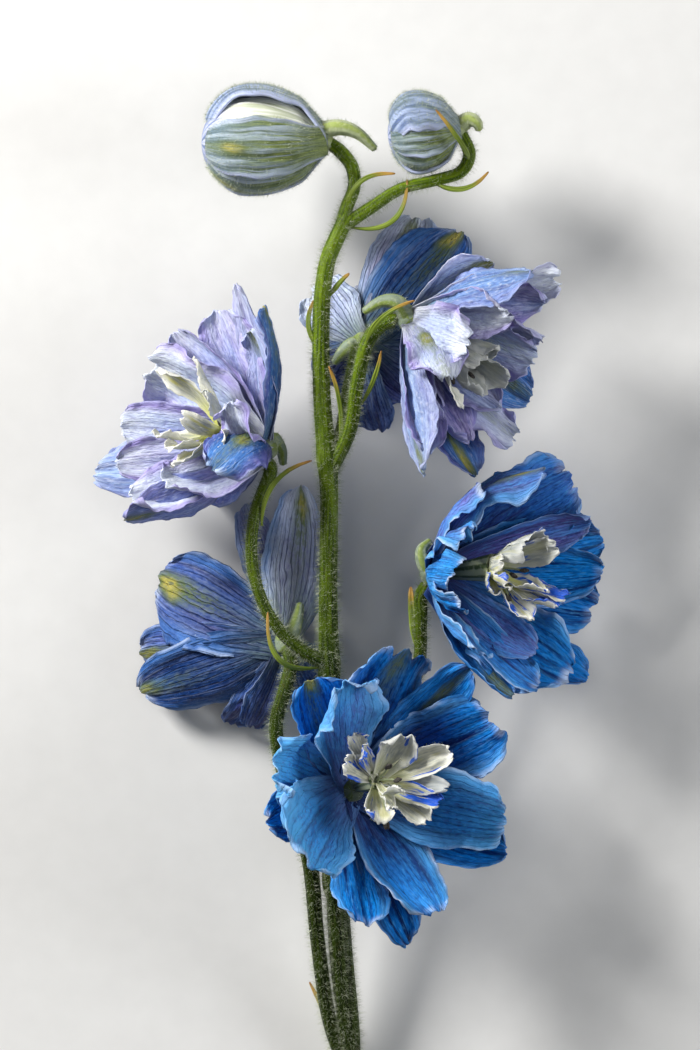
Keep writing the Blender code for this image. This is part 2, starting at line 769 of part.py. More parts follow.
def stalk_shape(stations, hub, hub_radius):
    """A flower stalk that ends in a flat seat just behind the flower's hub."""
    spots = np.array([(*place(*station[:3]), station[3]) for station in stations])
    centre = place(*hub)
    back = unit(spots[-1, :3] - centre)
    seat = centre + back * (hub_radius + TOUCH_GAP)
    stations = np.vstack((spots, (*seat, SEAT_RADIUS)))
    path = smooth_path(stations)
    return tube(path[:, :3], path[:, 3], STALK_SIDES)


def bract_shape(bract):
    """A thin leaf that starts inside the stem and bends through its middle to its tip."""
    root = place(*bract.root)
    tip = place(*bract.tip)
    middle = place(*bract.middle)
    reach = tip - root
    facing = unit(np.cross(np.cross(reach, (0.0, 0.0, 1.0)), reach))
    across = unit(np.cross(reach, facing))
    offset = middle - (root + tip) / 2
    leaf = Petal(
        tip=bract.tip,
        width=bract.width,
        facing=tuple(facing),
        cup=0.3,
        bow=-float(np.dot(offset, facing)),
        sway=float(np.dot(offset, across)),
        ruffle=0.0,
        blunt=0.3,
        neck=0.7,
        belly=0.4,
        thickness=BRACT_THICKNESS,
    )
    return blade(leaf, root, facing, 0.0)


def build_bloom(bloom):
    """Sepals, petals and spur, fused round the hub."""
    hub = place(*bloom.hub)
    axis = unit(bloom.axis)
    shapes = [ball(hub, axis, HUB_RADIUS, HUB_RADIUS, HUB_SIDES, HUB_RINGS)]
    shapes.append(tapered(bloom.spur, SPUR_RADII, SPUR_SIDES))
    for index, petal in enumerate(bloom.petals):
        reach = place(*petal.tip) - hub
        outward = unit(reach - axis * np.dot(reach, axis))
        root = hub + outward * PETAL_ROOT_OUT
        shapes.append(blade(petal, root, axis, PETAL_PHASE_STEP * index))
    return fuse(bloom.name + "_petals", shapes, material(bloom.name + "_blue", bloom.colour))


def build_eye(bloom):
    """The pale tube and the small petals that stand on its mouth."""
    hub = place(*bloom.hub)
    mouth = place(*bloom.tube_end)
    along = unit(mouth - hub)
    foot = hub + along * (HUB_RADIUS + TOUCH_GAP)
    path = np.array([foot, (foot + mouth) / 2, mouth])
    shapes = [tube(path, TUBE_RADII, TUBE_SIDES)]
    for spot in bloom.anthers:
        shapes += anther_shapes(mouth - along, place(*spot))
    for index, petal in enumerate(bloom.eye_petals):
        reach = place(*petal.tip) - mouth
        outward = unit(reach - along * np.dot(reach, along))
        root = mouth - along * EYE_ROOT_SUNK + outward * EYE_ROOT_OUT
        shapes.append(blade(petal, root, along, EYE_PHASE_STEP * index))
    return fuse(bloom.name + "_eye", shapes, material(bloom.name + "_cream", (0.80, 0.78, 0.62)))


def anther_shapes(foot, tip):
    """A thread and the dark anther on its end."""
    path = np.array([foot, tip])
    return [
        tube(path, (THREAD_RADIUS, THREAD_RADIUS), THREAD_SIDES),
        ball(tip, tip - foot, ANTHER_LENGTH / 2, ANTHER_RADIUS, ANTHER_SIDES, ANTHER_RINGS),
    ]


def bud_swell(share):
    """A bud's radius at a share of its length, as a share of its largest radius."""
    grown = min(max(share / WIDEST_SHARE, 0.0), 1.0)
    rising = FOOT_SHARE + (1 - FOOT_SHARE) * math.sin(grown * math.pi / 2)
    past = min(max((share - WIDEST_SHARE) / (BUD_END - WIDEST_SHARE), 0.0), 1.0)
    return rising * math.sqrt(1 - past**NOSE_POWER)


def bud_frame(bud):
    """The bud's foot, the direction to its nose, its length, and two directions round it."""
    foot = place(*bud.foot)
    nose = place(*bud.nose)
    along = unit(nose - foot)
    up = unit(np.cross((0.0, 0.0, 1.0), -along))
    toward = np.cross(along, up)
    if toward[2] < 0:
        toward = -toward
    return foot, along, np.linalg.norm(nose - foot), up, toward


def build_bud(bud):
    """A closed bud: folded petals, wrapped by five sepals, with a spur."""
    shapes = [bud_core(bud), tapered(bud.spur, SPUR_RADII, SPUR_SIDES)]
    for index, (turn, width) in enumerate(bud.sepals):
        girth = bud.girth + SEPAL_LIFT * (index % 3)
        shapes.append(bud_sepal(bud, math.radians(turn), width, girth))
    return fuse(bud.name, shapes, material(bud.name + "_blue", (0.30, 0.40, 0.50)))


def bud_core(bud):
    """The folded petals inside a bud, which meet the sepals at both ends."""
    foot, along, length, up, toward = bud_frame(bud)
    path = []
    radii = []
    for share in BUD_CORE_RINGS:
        path.append(foot + along * (length * share + CORE_RUNS_PAST * (2 * share - 1)))
        ends = abs(2 * share - 1) ** 4
        reach = CORE_SHARE + (1 - CORE_SHARE) * ends
        radii.append(bud.girth / 2 * bud_swell(share) * reach)
    return tube(np.array(path), radii, BUD_CORE_SIDES)


def bud_sepal(bud, angle, width, girth):
    """A sepal that hugs the bud from its foot to its nose."""
    foot, along, length, up, toward = bud_frame(bud)
    outline = Petal(tip=bud.nose, width=width, blunt=0.42, neck=0.3, belly=0.55)
    out = math.sin(angle) * up + math.cos(angle) * toward
    side = np.cross(along, out)
    shares = np.linspace(*SEPAL_ENDS, SEPAL_ROWS)
    turns = np.linspace(-1.0, 1.0, SEPAL_COLUMNS + 1)
    grid = np.zeros((SEPAL_ROWS, SEPAL_COLUMNS + 1, 3))
    for row, share in enumerate(shares):
        swell = girth / 2 * bud_swell(share)
        half = half_width(outline, share)
        for column, turn in enumerate(turns):
            lean = turn * half / max(swell, SEAT_RADIUS)
            direction = math.cos(lean) * out + math.sin(lean) * side
            grid[row, column] = foot + along * length * share + direction * swell
    offset = grid_normals(grid) * SEPAL_THICKNESS / 2
    return close_blade(grid + offset, grid - offset)


def main():
    for old in list(bpy.data.objects):
        bpy.data.objects.remove(old)
    build_stem()
    for bloom in BLOOMS:
        build_bloom(bloom)
        build_eye(bloom)
    for bud in BUDS:
        build_bud(bud)


main()
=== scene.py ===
# %% [markdown]
# A cut delphinium spike lies on a pale table and the camera looks straight down on it.
# The imported solids say where everything is: a green stem, six open blooms, each with a pale
# eye, and two closed buds. They are coarse, so this lesson makes finer pieces for each of them
# from nearly the same sizes, and then adds what a solid can't hold: hairs, veins and colour.
# We start by loading the solids as a fixed frame.

# %% Load the frame
import math
from dataclasses import dataclass

import bpy
import numpy as np
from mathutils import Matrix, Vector


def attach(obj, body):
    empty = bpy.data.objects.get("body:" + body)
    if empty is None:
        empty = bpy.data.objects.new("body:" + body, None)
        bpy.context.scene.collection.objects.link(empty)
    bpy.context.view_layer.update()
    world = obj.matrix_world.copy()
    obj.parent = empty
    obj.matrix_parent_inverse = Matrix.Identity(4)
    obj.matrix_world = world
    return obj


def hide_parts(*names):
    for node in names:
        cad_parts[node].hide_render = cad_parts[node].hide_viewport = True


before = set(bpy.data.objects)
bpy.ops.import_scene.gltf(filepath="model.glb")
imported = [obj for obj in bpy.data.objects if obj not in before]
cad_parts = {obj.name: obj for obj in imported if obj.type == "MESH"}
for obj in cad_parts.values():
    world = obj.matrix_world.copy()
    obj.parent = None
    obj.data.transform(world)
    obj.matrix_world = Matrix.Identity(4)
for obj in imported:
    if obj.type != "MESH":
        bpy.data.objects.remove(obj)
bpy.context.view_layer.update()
print("nodes:", sorted(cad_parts))

# %% [markdown]
# The photograph is a flat picture of the spike, so a place on the spike is easiest to give as
# a photo column, a photo row and a height above the table. One pixel is 0.225 mm. The
# column and row below are the ones that lie over the middle of the box.

# %% Places and small vector helpers
METRES_PER_MM = 0.001
MM_PER_PHOTO_PIXEL = 0.225
CENTRE_COLUMN = 351.5
CENTRE_ROW = 598.0
PHOTO_COLUMNS = 700
PHOTO_ROWS = 1050
SHORTEST_VECTOR = 1e-12


def place(column, row, height):
    """A photo column and row and a height in mm, as a point in mm."""
    across = (column - CENTRE_COLUMN) * MM_PER_PHOTO_PIXEL
    up = (CENTRE_ROW - row) * MM_PER_PHOTO_PIXEL
    return np.array((across, up, height), dtype=float)


def unit(vectors):
    """Vectors of length one. Works on one vector or on a grid of them."""
    vectors = np.asarray(vectors, dtype=float)
    lengths = np.linalg.norm(vectors, axis=-1, keepdims=True)
    return vectors / np.maximum(lengths, SHORTEST_VECTOR)


print("the photo's middle is at", place(PHOTO_COLUMNS / 2, PHOTO_ROWS / 2, 0), "mm")

# %% [markdown]
# Every petal, sepal and bract is the same kind of thing: a thin blade that leaves a hub, bends
# once on its way to a tip, and has a width that grows, holds and closes. A petal could be
# sculpted, but a formula with named sizes keeps eighty of them easy to place and to correct. The
# colour values say how pale and how lilac the blade is, how much painted shade darkens it (its
# dark value), and how strong its pale margin and the yellow-green spot near its tip are. The
# shaders read them later.


# %% What a petal, a bloom, a bract and a bud are
@dataclass
class Petal:
    """One blade from the hub of its bloom to its tip."""

    tip: tuple
    width: float
    facing: tuple = None
    cup: float = 0.5
    bow: float = 2.5
    sway: float = 0.0
    ruffle: float = 0.8
    waves: float = 1.4
    belly: float = 0.62
    blunt: float = 0.3
    neck: float = 0.32
    notch: float = 0.0
    lobes: float = 0.0
    curl: float = 0.0
    lean: float = 0.0
    pale: float = 0.0
    lilac: float = 0.0
    spot: float = 0.0
    spot_at: float = 0.92
    margin: float = 0.35
    # painted shade: how far the finish darkens the blade towards a shadow blue
    dark: float = 0.0
    hair: float = 0.0
    streak: float = 0.0
    thickness: float = 0.34


@dataclass
class Bloom:
    """One open bloom: its hub, the way it faces, its petals, spur, eye, finish and tube size."""

    name: str
    hub: tuple
    axis: tuple
    petals: list
    spur: list
    tube_end: tuple
    eye_petals: list
    anthers: list
    finish: str
    mouth: float = 1.0


@dataclass
class Bract:
    """One thin leaf on the stem: its root, middle and tip."""

    root: tuple
    middle: tuple
    tip: tuple
    width: float = 1.5


@dataclass
class Bud:
    """One closed bud: its ends, girth, the radius of its seat, its sepals and its spur.

    A sepal is given by its turn round the bud, its width, how much spot it has, how blue it is
    and the layer that it lies in.
    """

    name: str
    foot: tuple
    nose: tuple
    girth: float
    seat: float
    sepals: tuple
    spur: list


EYE_PETAL_FULLNESS = 1.35


def eye_petal(tip, width, streak=0.0, green=0.5, dark=0.0, sway=0.0, curl=0.0, cup=0.95):
    """One small stiff petal of the pale eye. Its lilac value is the green at its root, and its dark
    value is painted shade.
    """
    return Petal(
        tip=tip, width=width * EYE_PETAL_FULLNESS, bow=1.2, cup=cup, sway=sway, curl=curl, ruffle=0.75,
        waves=1.3, belly=0.68, neck=0.3, blunt=0.5, notch=1.0, streak=streak, lilac=green, dark=dark,
        hair=0.6, thickness=0.3,
    )


# %% [markdown]
# The low bloom faces the viewer and leans to the right, so its left petals stand towards the
# camera and its right ones fall away. The first six in the list are the outer ones, and three of
# them have a yellow-green spot near the tip. The inner petals on the left are the palest, with
# white ruffled edges.

# %% The low bloom
LOW_BLOOM = Bloom(
    name="low_bloom",
    hub=(352, 790, 27),
    axis=(0.55, 0.07, 0.83),
    petals=[
        Petal(
            tip=(310, 679, 40), width=16, cup=0.35, blunt=0.5, spot=0.9, spot_at=1.0, margin=0.2,
            hair=0.3,
        ),
        Petal(tip=(273, 818, 43), width=13, cup=0.5, margin=0.4, dark=0.2, hair=0.3),
        Petal(
            tip=(406, 648, 34), width=18, cup=0.25, belly=0.86, blunt=0.8, lobes=3.2, ruffle=1.1,
            waves=2.3, curl=-0.6, spot=0.5, spot_at=0.85, margin=0.6, dark=0.9,
        ),
        Petal(tip=(507, 852, 23), width=17, cup=0.5, bow=3.5, dark=0.45, margin=0.3, hair=0.3),
        Petal(tip=(409, 941, 32), width=11.5, cup=0.5, blunt=0.25, dark=0.55, margin=0.3, hair=0.3),
        Petal(
            tip=(470, 670, 29), width=11, cup=0.4, dark=0.5, spot=0.5, spot_at=0.8, margin=0.2,
            hair=0.3,
        ),
        Petal(
            tip=(341, 679, 47), width=20, belly=0.7, cup=0.55, ruffle=1.6, waves=1.9, blunt=0.45,
            lean=0.15, pale=0.6, lilac=0.45, margin=1.0,
        ),
        Petal(
            tip=(273, 764, 50), width=15, cup=0.3, ruffle=1.7, waves=2.2, blunt=0.65, curl=1.0,
            pale=0.8, margin=1.0,
        ),
        Petal(
            tip=(311, 853, 50), width=22, cup=0.45, ruffle=1.5, waves=1.7, belly=0.74, blunt=0.62,
            lean=0.12, pale=0.7, lilac=0.15, margin=1.0,
        ),
        Petal(
            tip=(496, 719, 28), width=19, cup=0.35, blunt=0.6, notch=1.8, ruffle=1.2, waves=2.1,
            curl=-1.0, dark=1.0, margin=0.5,
        ),
        Petal(
            tip=(506, 822, 30), width=17, cup=0.35, bow=1.6, blunt=0.55, ruffle=1.3, waves=1.9,
            margin=0.9, pale=0.5, dark=0.55,
        ),
        Petal(
            tip=(434, 910, 35), width=15, cup=0.3, blunt=0.5, ruffle=1.1, margin=0.9, pale=0.15,
            lilac=0.1, dark=0.2,
        ),
        Petal(tip=(365, 916, 40), width=13.5, cup=0.3, blunt=0.45, ruffle=1.1, margin=0.7),
    ],
    spur=[(352, 790, 27), (340, 779, 24.5), (328, 772, 24.3), (315, 768, 24.8)],
    tube_end=(379, 777, 39),
    eye_petals=[
        eye_petal((350, 731, 43), 4.6, streak=0.35, green=0.2, dark=0.2),
        eye_petal((345, 757, 45), 4.6, streak=0.9, green=0.1),
        eye_petal((405, 731, 43), 6.8, streak=0.2, green=0.3, dark=0.25, curl=0.6),
        eye_petal((451, 748, 42), 5.2, streak=0.15, green=0.5),
        eye_petal((448, 786, 41), 3.6, dark=0.7, green=0.0),
        eye_petal((440, 799, 42), 4.4, streak=1.0, green=0.6),
        eye_petal((428, 820, 42), 4.2, green=0.4),
        eye_petal((379, 820, 44), 5.6, streak=0.2, green=0.6),
        eye_petal((403, 787, 48), 2.4, green=0.3, sway=0.8),
        eye_petal((391, 803, 47), 2.6, green=0.5, sway=-1.0),
        eye_petal((362, 742, 46), 3.0, streak=1.0, green=0.0),
    ],
    anthers=[(388, 764, 43), (397, 777, 44), (386, 822, 40)],
    finish="deep_blue_petal",
    mouth=1.15,
)
print("the low bloom has", len(LOW_BLOOM.petals), "petals and sepals")

# %% [markdown]
# The left bloom faces left and a little towards the camera. It is the palest: white to lilac
# inside, one cupped bright blue petal in front of its throat, and one sepal seen from its edge
# that stands straight up behind it with a yellow tip.

# %% The left bloom
LEFT_BLOOM = Bloom(
    name="left_bloom",
    hub=(266, 449, 27),
    axis=(-0.9, 0.1, 0.4),
    petals=[
        Petal(
            tip=(126, 520, 32), width=15, facing=(-0.1, 0.8, -0.5), cup=0.6, blunt=0.35, spot=0.9,
            spot_at=0.95, lilac=0.7, pale=0.1, dark=0.3, hair=0.5,
        ),
        Petal(tip=(95, 470, 20), width=14, cup=0.5, blunt=0.5, pale=0.35, ruffle=1.4),
        Petal(
            tip=(266, 307, 32), width=15, facing=(-0.98, 0.0, -0.15), cup=0.5, blunt=0.4, spot=1.0,
            spot_at=0.98, dark=0.3, hair=1.0,
        ),
        Petal(tip=(135, 411, 6), width=11, cup=0.4, pale=0.2),
        Petal(tip=(190, 470, 1), width=16, cup=0.4, bow=4.0, lilac=0.4),
        Petal(
            tip=(212, 468, 43), width=15, facing=(-0.3, 0.35, 0.9), cup=-0.7, bow=-6.5, neck=0.2,
            ruffle=1.3, spot=0.6, spot_at=0.6, margin=0.7, dark=0.6,
        ),
        Petal(
            tip=(131, 498, 35), width=13, facing=(-0.3, 0.55, 0.78), cup=0.4, blunt=0.5, ruffle=1.3,
            pale=0.95, lilac=0.3, margin=0.9,
        ),
        Petal(
            tip=(164, 484, 40), width=13, facing=(-0.3, 0.5, 0.8), cup=0.3, blunt=0.55, pale=0.9,
            lilac=0.5, margin=1.0,
        ),
        Petal(
            tip=(118, 463, 28), width=10, facing=(-0.2, 0.3, 0.93), cup=0.4, pale=0.75, lilac=0.9,
            margin=1.0,
        ),
        Petal(tip=(121, 428, 22), width=13, cup=0.3, blunt=0.55, pale=0.8, lilac=0.3, margin=1.0),
        Petal(
            tip=(147, 360, 19), width=17, cup=0.3, blunt=0.5, notch=2.4, ruffle=1.5, waves=2.1,
            pale=1.0, lilac=0.1, margin=0.9,
        ),
        Petal(
            tip=(176, 331, 23), width=12, facing=(-0.35, -0.5, 0.8), cup=0.4, blunt=0.4, curl=1.4,
            pale=0.6, lilac=1.0, margin=1.0,
        ),
        Petal(
            tip=(219, 312, 24), width=14, facing=(-0.5, -0.2, 0.85), cup=0.45, blunt=0.5, ruffle=1.2,
            pale=0.55, lilac=1.0, margin=0.9,
        ),
        Petal(tip=(237, 284, 27), width=6.5, facing=(-0.6, -0.1, 0.8), cup=0.3, pale=0.6, lilac=0.7),
        Petal(
            tip=(252, 330, 30), width=9, facing=(-0.75, -0.1, 0.65), cup=0.7, pale=0.5, lilac=0.4,
            spot=0.5,
        ),
        Petal(
            tip=(229, 406, 43), width=9, facing=(-0.5, -0.3, 0.8), bow=-3.0, neck=0.2, ruffle=1.5,
            waves=2.2, pale=0.8, lilac=0.8, margin=1.0,
        ),
    ],
    spur=[(266, 449, 27), (274, 440, 24), (281, 450, 22), (283, 464, 21)],
    tube_end=(219, 430, 31.5),
    eye_petals=[
        eye_petal((158, 369, 33), 3.6, green=1.0, sway=1.2),
        eye_petal((195, 359, 35), 3.4, green=0.8, sway=-1.2),
        eye_petal((206, 391, 39), 4.0, green=0.6, dark=0.4),
        eye_petal((155, 436, 35), 4.0, green=1.0, sway=1.0),
        eye_petal((166, 449, 37), 3.6, green=1.0),
        eye_petal((172, 465, 39), 3.6, green=1.0, sway=-0.8),
        eye_petal((183, 417, 40), 3.4, green=1.0, sway=0.8),
        eye_petal((222, 446, 41), 4.4, green=1.0),
    ],
    anthers=[(213, 433, 33), (220, 422, 33)],
    finish="lilac_petal",
)
print("the left bloom has", len(LEFT_BLOOM.petals), "petals and sepals")

# %% [markdown]
# The back bloom turns its back to the camera and its face to the table. What shows is the
# outside of its sepals: blue-violet, strongly veined, grey-green where they meet the stalk and
# olive at the tips. Petals that the photo hides are there too, because the spike is seen from
# every side.

# %% The back bloom
BACK_BLOOM = Bloom(
    name="back_bloom",
    hub=(286, 643, 21),
    axis=(-0.35, 0.1, -0.93),
    petals=[
        Petal(
            tip=(157, 580, 7), width=21, cup=0.5, blunt=0.6, belly=0.7, ruffle=1.1, spot=1.0,
            spot_at=0.88, lilac=0.3, dark=0.45, hair=0.3, margin=0.8,
        ),
        Petal(
            tip=(142, 691, 5), width=17, cup=0.5, blunt=0.2, belly=0.55, spot=0.6, spot_at=1.0,
            hair=0.3, dark=0.65, margin=0.6,
        ),
        Petal(
            tip=(301, 485, 11), width=16, cup=0.5, blunt=0.1, belly=0.45, spot=1.0, spot_at=0.84,
            pale=0.85, lilac=0.6, hair=0.3, margin=0.8,
        ),
        Petal(tip=(252, 732, 8), width=9, cup=0.3, blunt=0.5, lilac=0.3, dark=0.3, hair=0.3),
        Petal(tip=(318, 690, 4), width=14, cup=0.5, hair=0.3),
        Petal(tip=(141, 655, 3), width=13, cup=0.3, blunt=0.5, spot=0.6, lilac=0.3),
        Petal(tip=(228, 728, 5), width=9, cup=0.4, blunt=0.4, lilac=0.3, dark=0.2),
        Petal(tip=(247, 502, 5), width=10, cup=0.3, blunt=0.35, lilac=0.6, pale=0.3),
        Petal(tip=(190, 640, 0.6), width=12, cup=0.3),
        Petal(tip=(305, 565, 2.5), width=10, cup=0.3),
    ],
    spur=[(286, 643, 21), (292, 632, 23), (297, 618, 23), (300, 604, 22)],
    tube_end=(272, 640, 12.5),
    eye_petals=[
        eye_petal((232, 655, 6), 4.4),
        eye_petal((245, 605, 6), 4.4, streak=0.5),
        eye_petal((292, 600, 6), 4.4),
        eye_petal((300, 655, 6), 4.4, streak=0.5),
        eye_petal((265, 678, 6), 4.4),
    ],
    anthers=[(262, 640, 8)],
    finish="violet_blue_petal",
)
print("the back bloom has", len(BACK_BLOOM.petals), "petals and sepals")

# %% [markdown]
# The right bloom faces right. It is as deep a blue as the low one, with lilac on the petals in
# front. Several of those are folded lengthwise, and their edges are paler.

# %% The right bloom
RIGHT_BLOOM = Bloom(
    name="right_bloom",
    hub=(432, 574, 25),
    axis=(0.88, -0.03, 0.42),
    petals=[
        Petal(
            tip=(543, 470, 31), width=12, facing=(0.3, -0.8, -0.4), bow=6.5, cup=0.7, blunt=0.45,
            ruffle=1.3, waves=2.3, curl=1.3, spot=1.0, spot_at=0.86, pale=0.2, lilac=0.8, hair=0.4,
            margin=0.8, dark=0.4,
        ),
        Petal(tip=(600, 610, 8), width=14, cup=0.3, blunt=0.6, notch=1.5, dark=0.5),
        Petal(tip=(588, 681, 14), width=12, cup=0.3, blunt=0.4, margin=0.3),
        Petal(
            tip=(510, 699, 30), width=14, facing=(0.4, 0.6, 0.5), cup=0.55, blunt=0.3, dark=0.35,
            spot=0.5,
        ),
        Petal(tip=(604, 538, 13), width=15, cup=0.3, blunt=0.5, pale=0.1),
        Petal(
            tip=(572, 478, 22), width=20, facing=(0.1, -0.45, 0.9), cup=0.35, blunt=0.6, ruffle=1.2,
            lobes=1.4, lilac=0.3, dark=0.65,
        ),
        Petal(tip=(591, 521, 20), width=10, cup=0.6, blunt=0.5, lilac=1.0, pale=0.1, curl=1.2),
        Petal(tip=(604, 572, 15), width=13, cup=0.3, blunt=0.35, margin=0.4),
        Petal(
            tip=(571, 672, 24), width=19, facing=(0.1, 0.4, 0.9), cup=0.3, blunt=0.55, ruffle=1.6,
            waves=2.3, pale=0.05, dark=0.2, margin=0.7,
        ),
        Petal(
            tip=(538, 684, 30), width=9, facing=(0.3, 0.3, 0.9), cup=0.5, blunt=0.3, pale=0.1,
            lilac=0.2, margin=0.7,
        ),
        Petal(
            tip=(535, 655, 27), width=10, facing=(0.2, 0.3, 0.9), cup=0.3, blunt=0.4, lilac=0.7,
            pale=0.15,
        ),
        Petal(
            tip=(483, 654, 41), width=9.5, facing=(0.8, 0.3, 0.5), cup=0.75, blunt=0.8, ruffle=0.7,
            lilac=0.4, pale=0.35, margin=1.0,
        ),
        Petal(
            tip=(480, 487, 36), width=9, facing=(0.9, -0.3, 0.3), cup=1.2, blunt=0.2, ruffle=1.2,
            lilac=0.9, pale=0.1, margin=1.0,
        ),
        Petal(
            tip=(467, 526, 41), width=10, facing=(0.7, -0.4, 0.6), cup=0.8, blunt=0.6, ruffle=1.2,
            waves=2.0, lilac=0.4, pale=0.3, margin=1.0,
        ),
        Petal(
            tip=(452, 568, 42), width=9, facing=(0.7, -0.1, 0.7), cup=0.8, blunt=0.7, ruffle=1.0,
            waves=1.9, pale=0.2, margin=1.0,
        ),
        Petal(
            tip=(463, 607, 42), width=9, facing=(0.8, 0.2, 0.6), cup=0.6, blunt=0.75, ruffle=0.7,
            margin=0.8,
        ),
        Petal(tip=(525, 585, 0.7), width=16, cup=0.4, bow=4.0, dark=0.3),
    ],
    spur=[(432, 574, 25), (424, 562, 26), (422, 550, 26), (430, 541, 25)],
    tube_end=(494, 567, 34),
    eye_petals=[
        eye_petal((546, 532, 37), 5.4, streak=0.1, green=0.6, dark=0.45),
        eye_petal((557, 547, 37), 5.0, streak=0.3, green=0.6, dark=0.45),
        eye_petal((494, 594, 39), 5.4, streak=0.5, green=0.9),
        eye_petal((531, 621, 37), 4.8, streak=0.5, green=1.0),
        eye_petal((556, 607, 37), 4.6, streak=0.5, green=0.8),
        eye_petal((566, 596, 36), 3.8, streak=1.0, green=0.6),
        eye_petal((522, 548, 42), 4.6, dark=0.5, green=0.6, sway=0.8),
        eye_petal((507, 585, 42), 4.0, streak=0.5, green=0.9),
        eye_petal((545, 592, 39), 4.4, streak=0.8, green=0.9, sway=-0.8),
        eye_petal((503, 560, 42), 3.4, dark=0.2, green=0.8),
    ],
    anthers=[(512, 575, 39), (523, 570, 38), (507, 597, 36)],
    finish="deep_blue_petal",
    mouth=1.5,
)
print("the right bloom has", len(RIGHT_BLOOM.petals), "petals and sepals")

# %% [markdown]
# Two blooms share the node above the middle. The front one hangs to the right on a bent stalk:
# its top and left sepals show their downy blue-green outside, the petals in it are white to
# violet. The other one looks away behind it, a dark blue sepal and pale ones beside it.

# %% The two upper blooms
UPPER_FRONT_BLOOM = Bloom(
    name="upper_front_bloom",
    hub=(409, 321, 34),
    axis=(0.8, -0.57, 0.15),
    petals=[
        Petal(
            tip=(530, 273, 36), width=15, facing=(0.1, -0.85, -0.45), cup=0.6, blunt=0.4, ruffle=1.1,
            pale=0.2, lilac=0.1, spot=0.5, hair=0.7,
        ),
        Petal(
            tip=(428, 472, 38), width=14, facing=(0.85, 0.2, -0.4), cup=0.6, blunt=0.25, pale=0.5,
            spot=0.5, hair=0.9,
        ),
        Petal(tip=(474, 477, 24), width=13, cup=0.5, blunt=0.35, spot=1.0, spot_at=0.85, dark=1.0),
        Petal(tip=(531, 396, 17), width=13, cup=0.5, blunt=0.5, spot=0.5, spot_at=0.8, margin=0.2),
        Petal(tip=(492, 263, 26), width=10, facing=(0.2, -0.5, 0.8), cup=0.4, pale=0.8, spot=0.6),
        Petal(
            tip=(560, 280, 30), width=9, facing=(0.1, -0.6, 0.8), cup=0.4, blunt=0.4, notch=1.6,
            ruffle=1.6, pale=0.9, lilac=0.3,
        ),
        Petal(
            tip=(544, 302, 31), width=12, facing=(0.2, -0.5, 0.8), cup=0.5, ruffle=1.3, lilac=1.0,
            pale=0.2, margin=0.9,
        ),
        Petal(tip=(542, 338, 26), width=10, cup=0.4, ruffle=1.3, lilac=0.9, pale=0.5),
        Petal(
            tip=(534, 360, 24), width=13, cup=0.4, blunt=0.5, ruffle=1.7, waves=2.2, lilac=0.3,
            pale=0.5, spot=0.3, spot_at=0.75, margin=0.8,
        ),
        Petal(
            tip=(505, 315, 40), width=12, facing=(0.0, -0.5, 0.85), cup=0.6, ruffle=1.2, pale=1.0,
            lilac=0.3, margin=0.8,
        ),
        Petal(
            tip=(468, 346, 45), width=12, facing=(0.2, -0.2, 0.95), cup=-0.35, blunt=0.6, bow=-2.0,
            neck=0.25, ruffle=1.9, waves=2.4, pale=1.0, lilac=0.2, margin=0.9,
        ),
        Petal(
            tip=(446, 380, 45), width=12.5, facing=(0.4, 0.1, 0.9), cup=-0.5, blunt=0.6, bow=-3.0,
            neck=0.2, ruffle=1.9, waves=2.1, pale=0.85, lilac=0.6, spot=0.6, spot_at=0.5, margin=1.0,
        ),
        Petal(
            tip=(428, 450, 41), width=11, facing=(0.6, 0.1, 0.8), cup=1.1, ruffle=1.2, lilac=0.9,
            pale=0.25, margin=1.0,
        ),
        Petal(
            tip=(467, 444, 31), width=13, facing=(0.4, 0.5, 0.8), cup=0.8, ruffle=1.5, lilac=1.0,
            pale=0.1, dark=0.65,
        ),
        Petal(
            tip=(514, 438, 23), width=13, facing=(0.1, 0.6, 0.8), cup=0.3, blunt=0.5, ruffle=1.8,
            waves=2.3, lilac=0.6, pale=0.6, spot=0.4, spot_at=0.7, margin=0.8,
        ),
        Petal(
            tip=(500, 408, 30), width=10, facing=(0.3, 0.4, 0.85), cup=0.8, ruffle=1.5, lilac=0.5,
            pale=0.4, dark=0.3, margin=0.7,
        ),
    ],
    spur=[(409, 321, 34), (398, 305, 36.6), (382, 303, 36.4), (364, 313, 35.5)],
    tube_end=(447, 353, 36),
    eye_petals=[
        eye_petal((500, 350, 38), 6.5, green=0.3, dark=0.55),
        eye_petal((508, 384, 36), 6.5, green=0.4, dark=0.6),
        eye_petal((482, 364, 42), 5.0, green=0.3, dark=0.4),
        eye_petal((460, 410, 40), 2.2, green=0.2, sway=2.6),
        eye_petal((484, 398, 37), 5.6, green=0.3, dark=0.55),
        eye_petal((470, 388, 39), 4.0, green=0.2, dark=0.7),
    ],
    anthers=[(452, 381, 39), (470, 376, 38)],
    finish="lilac_petal",
)

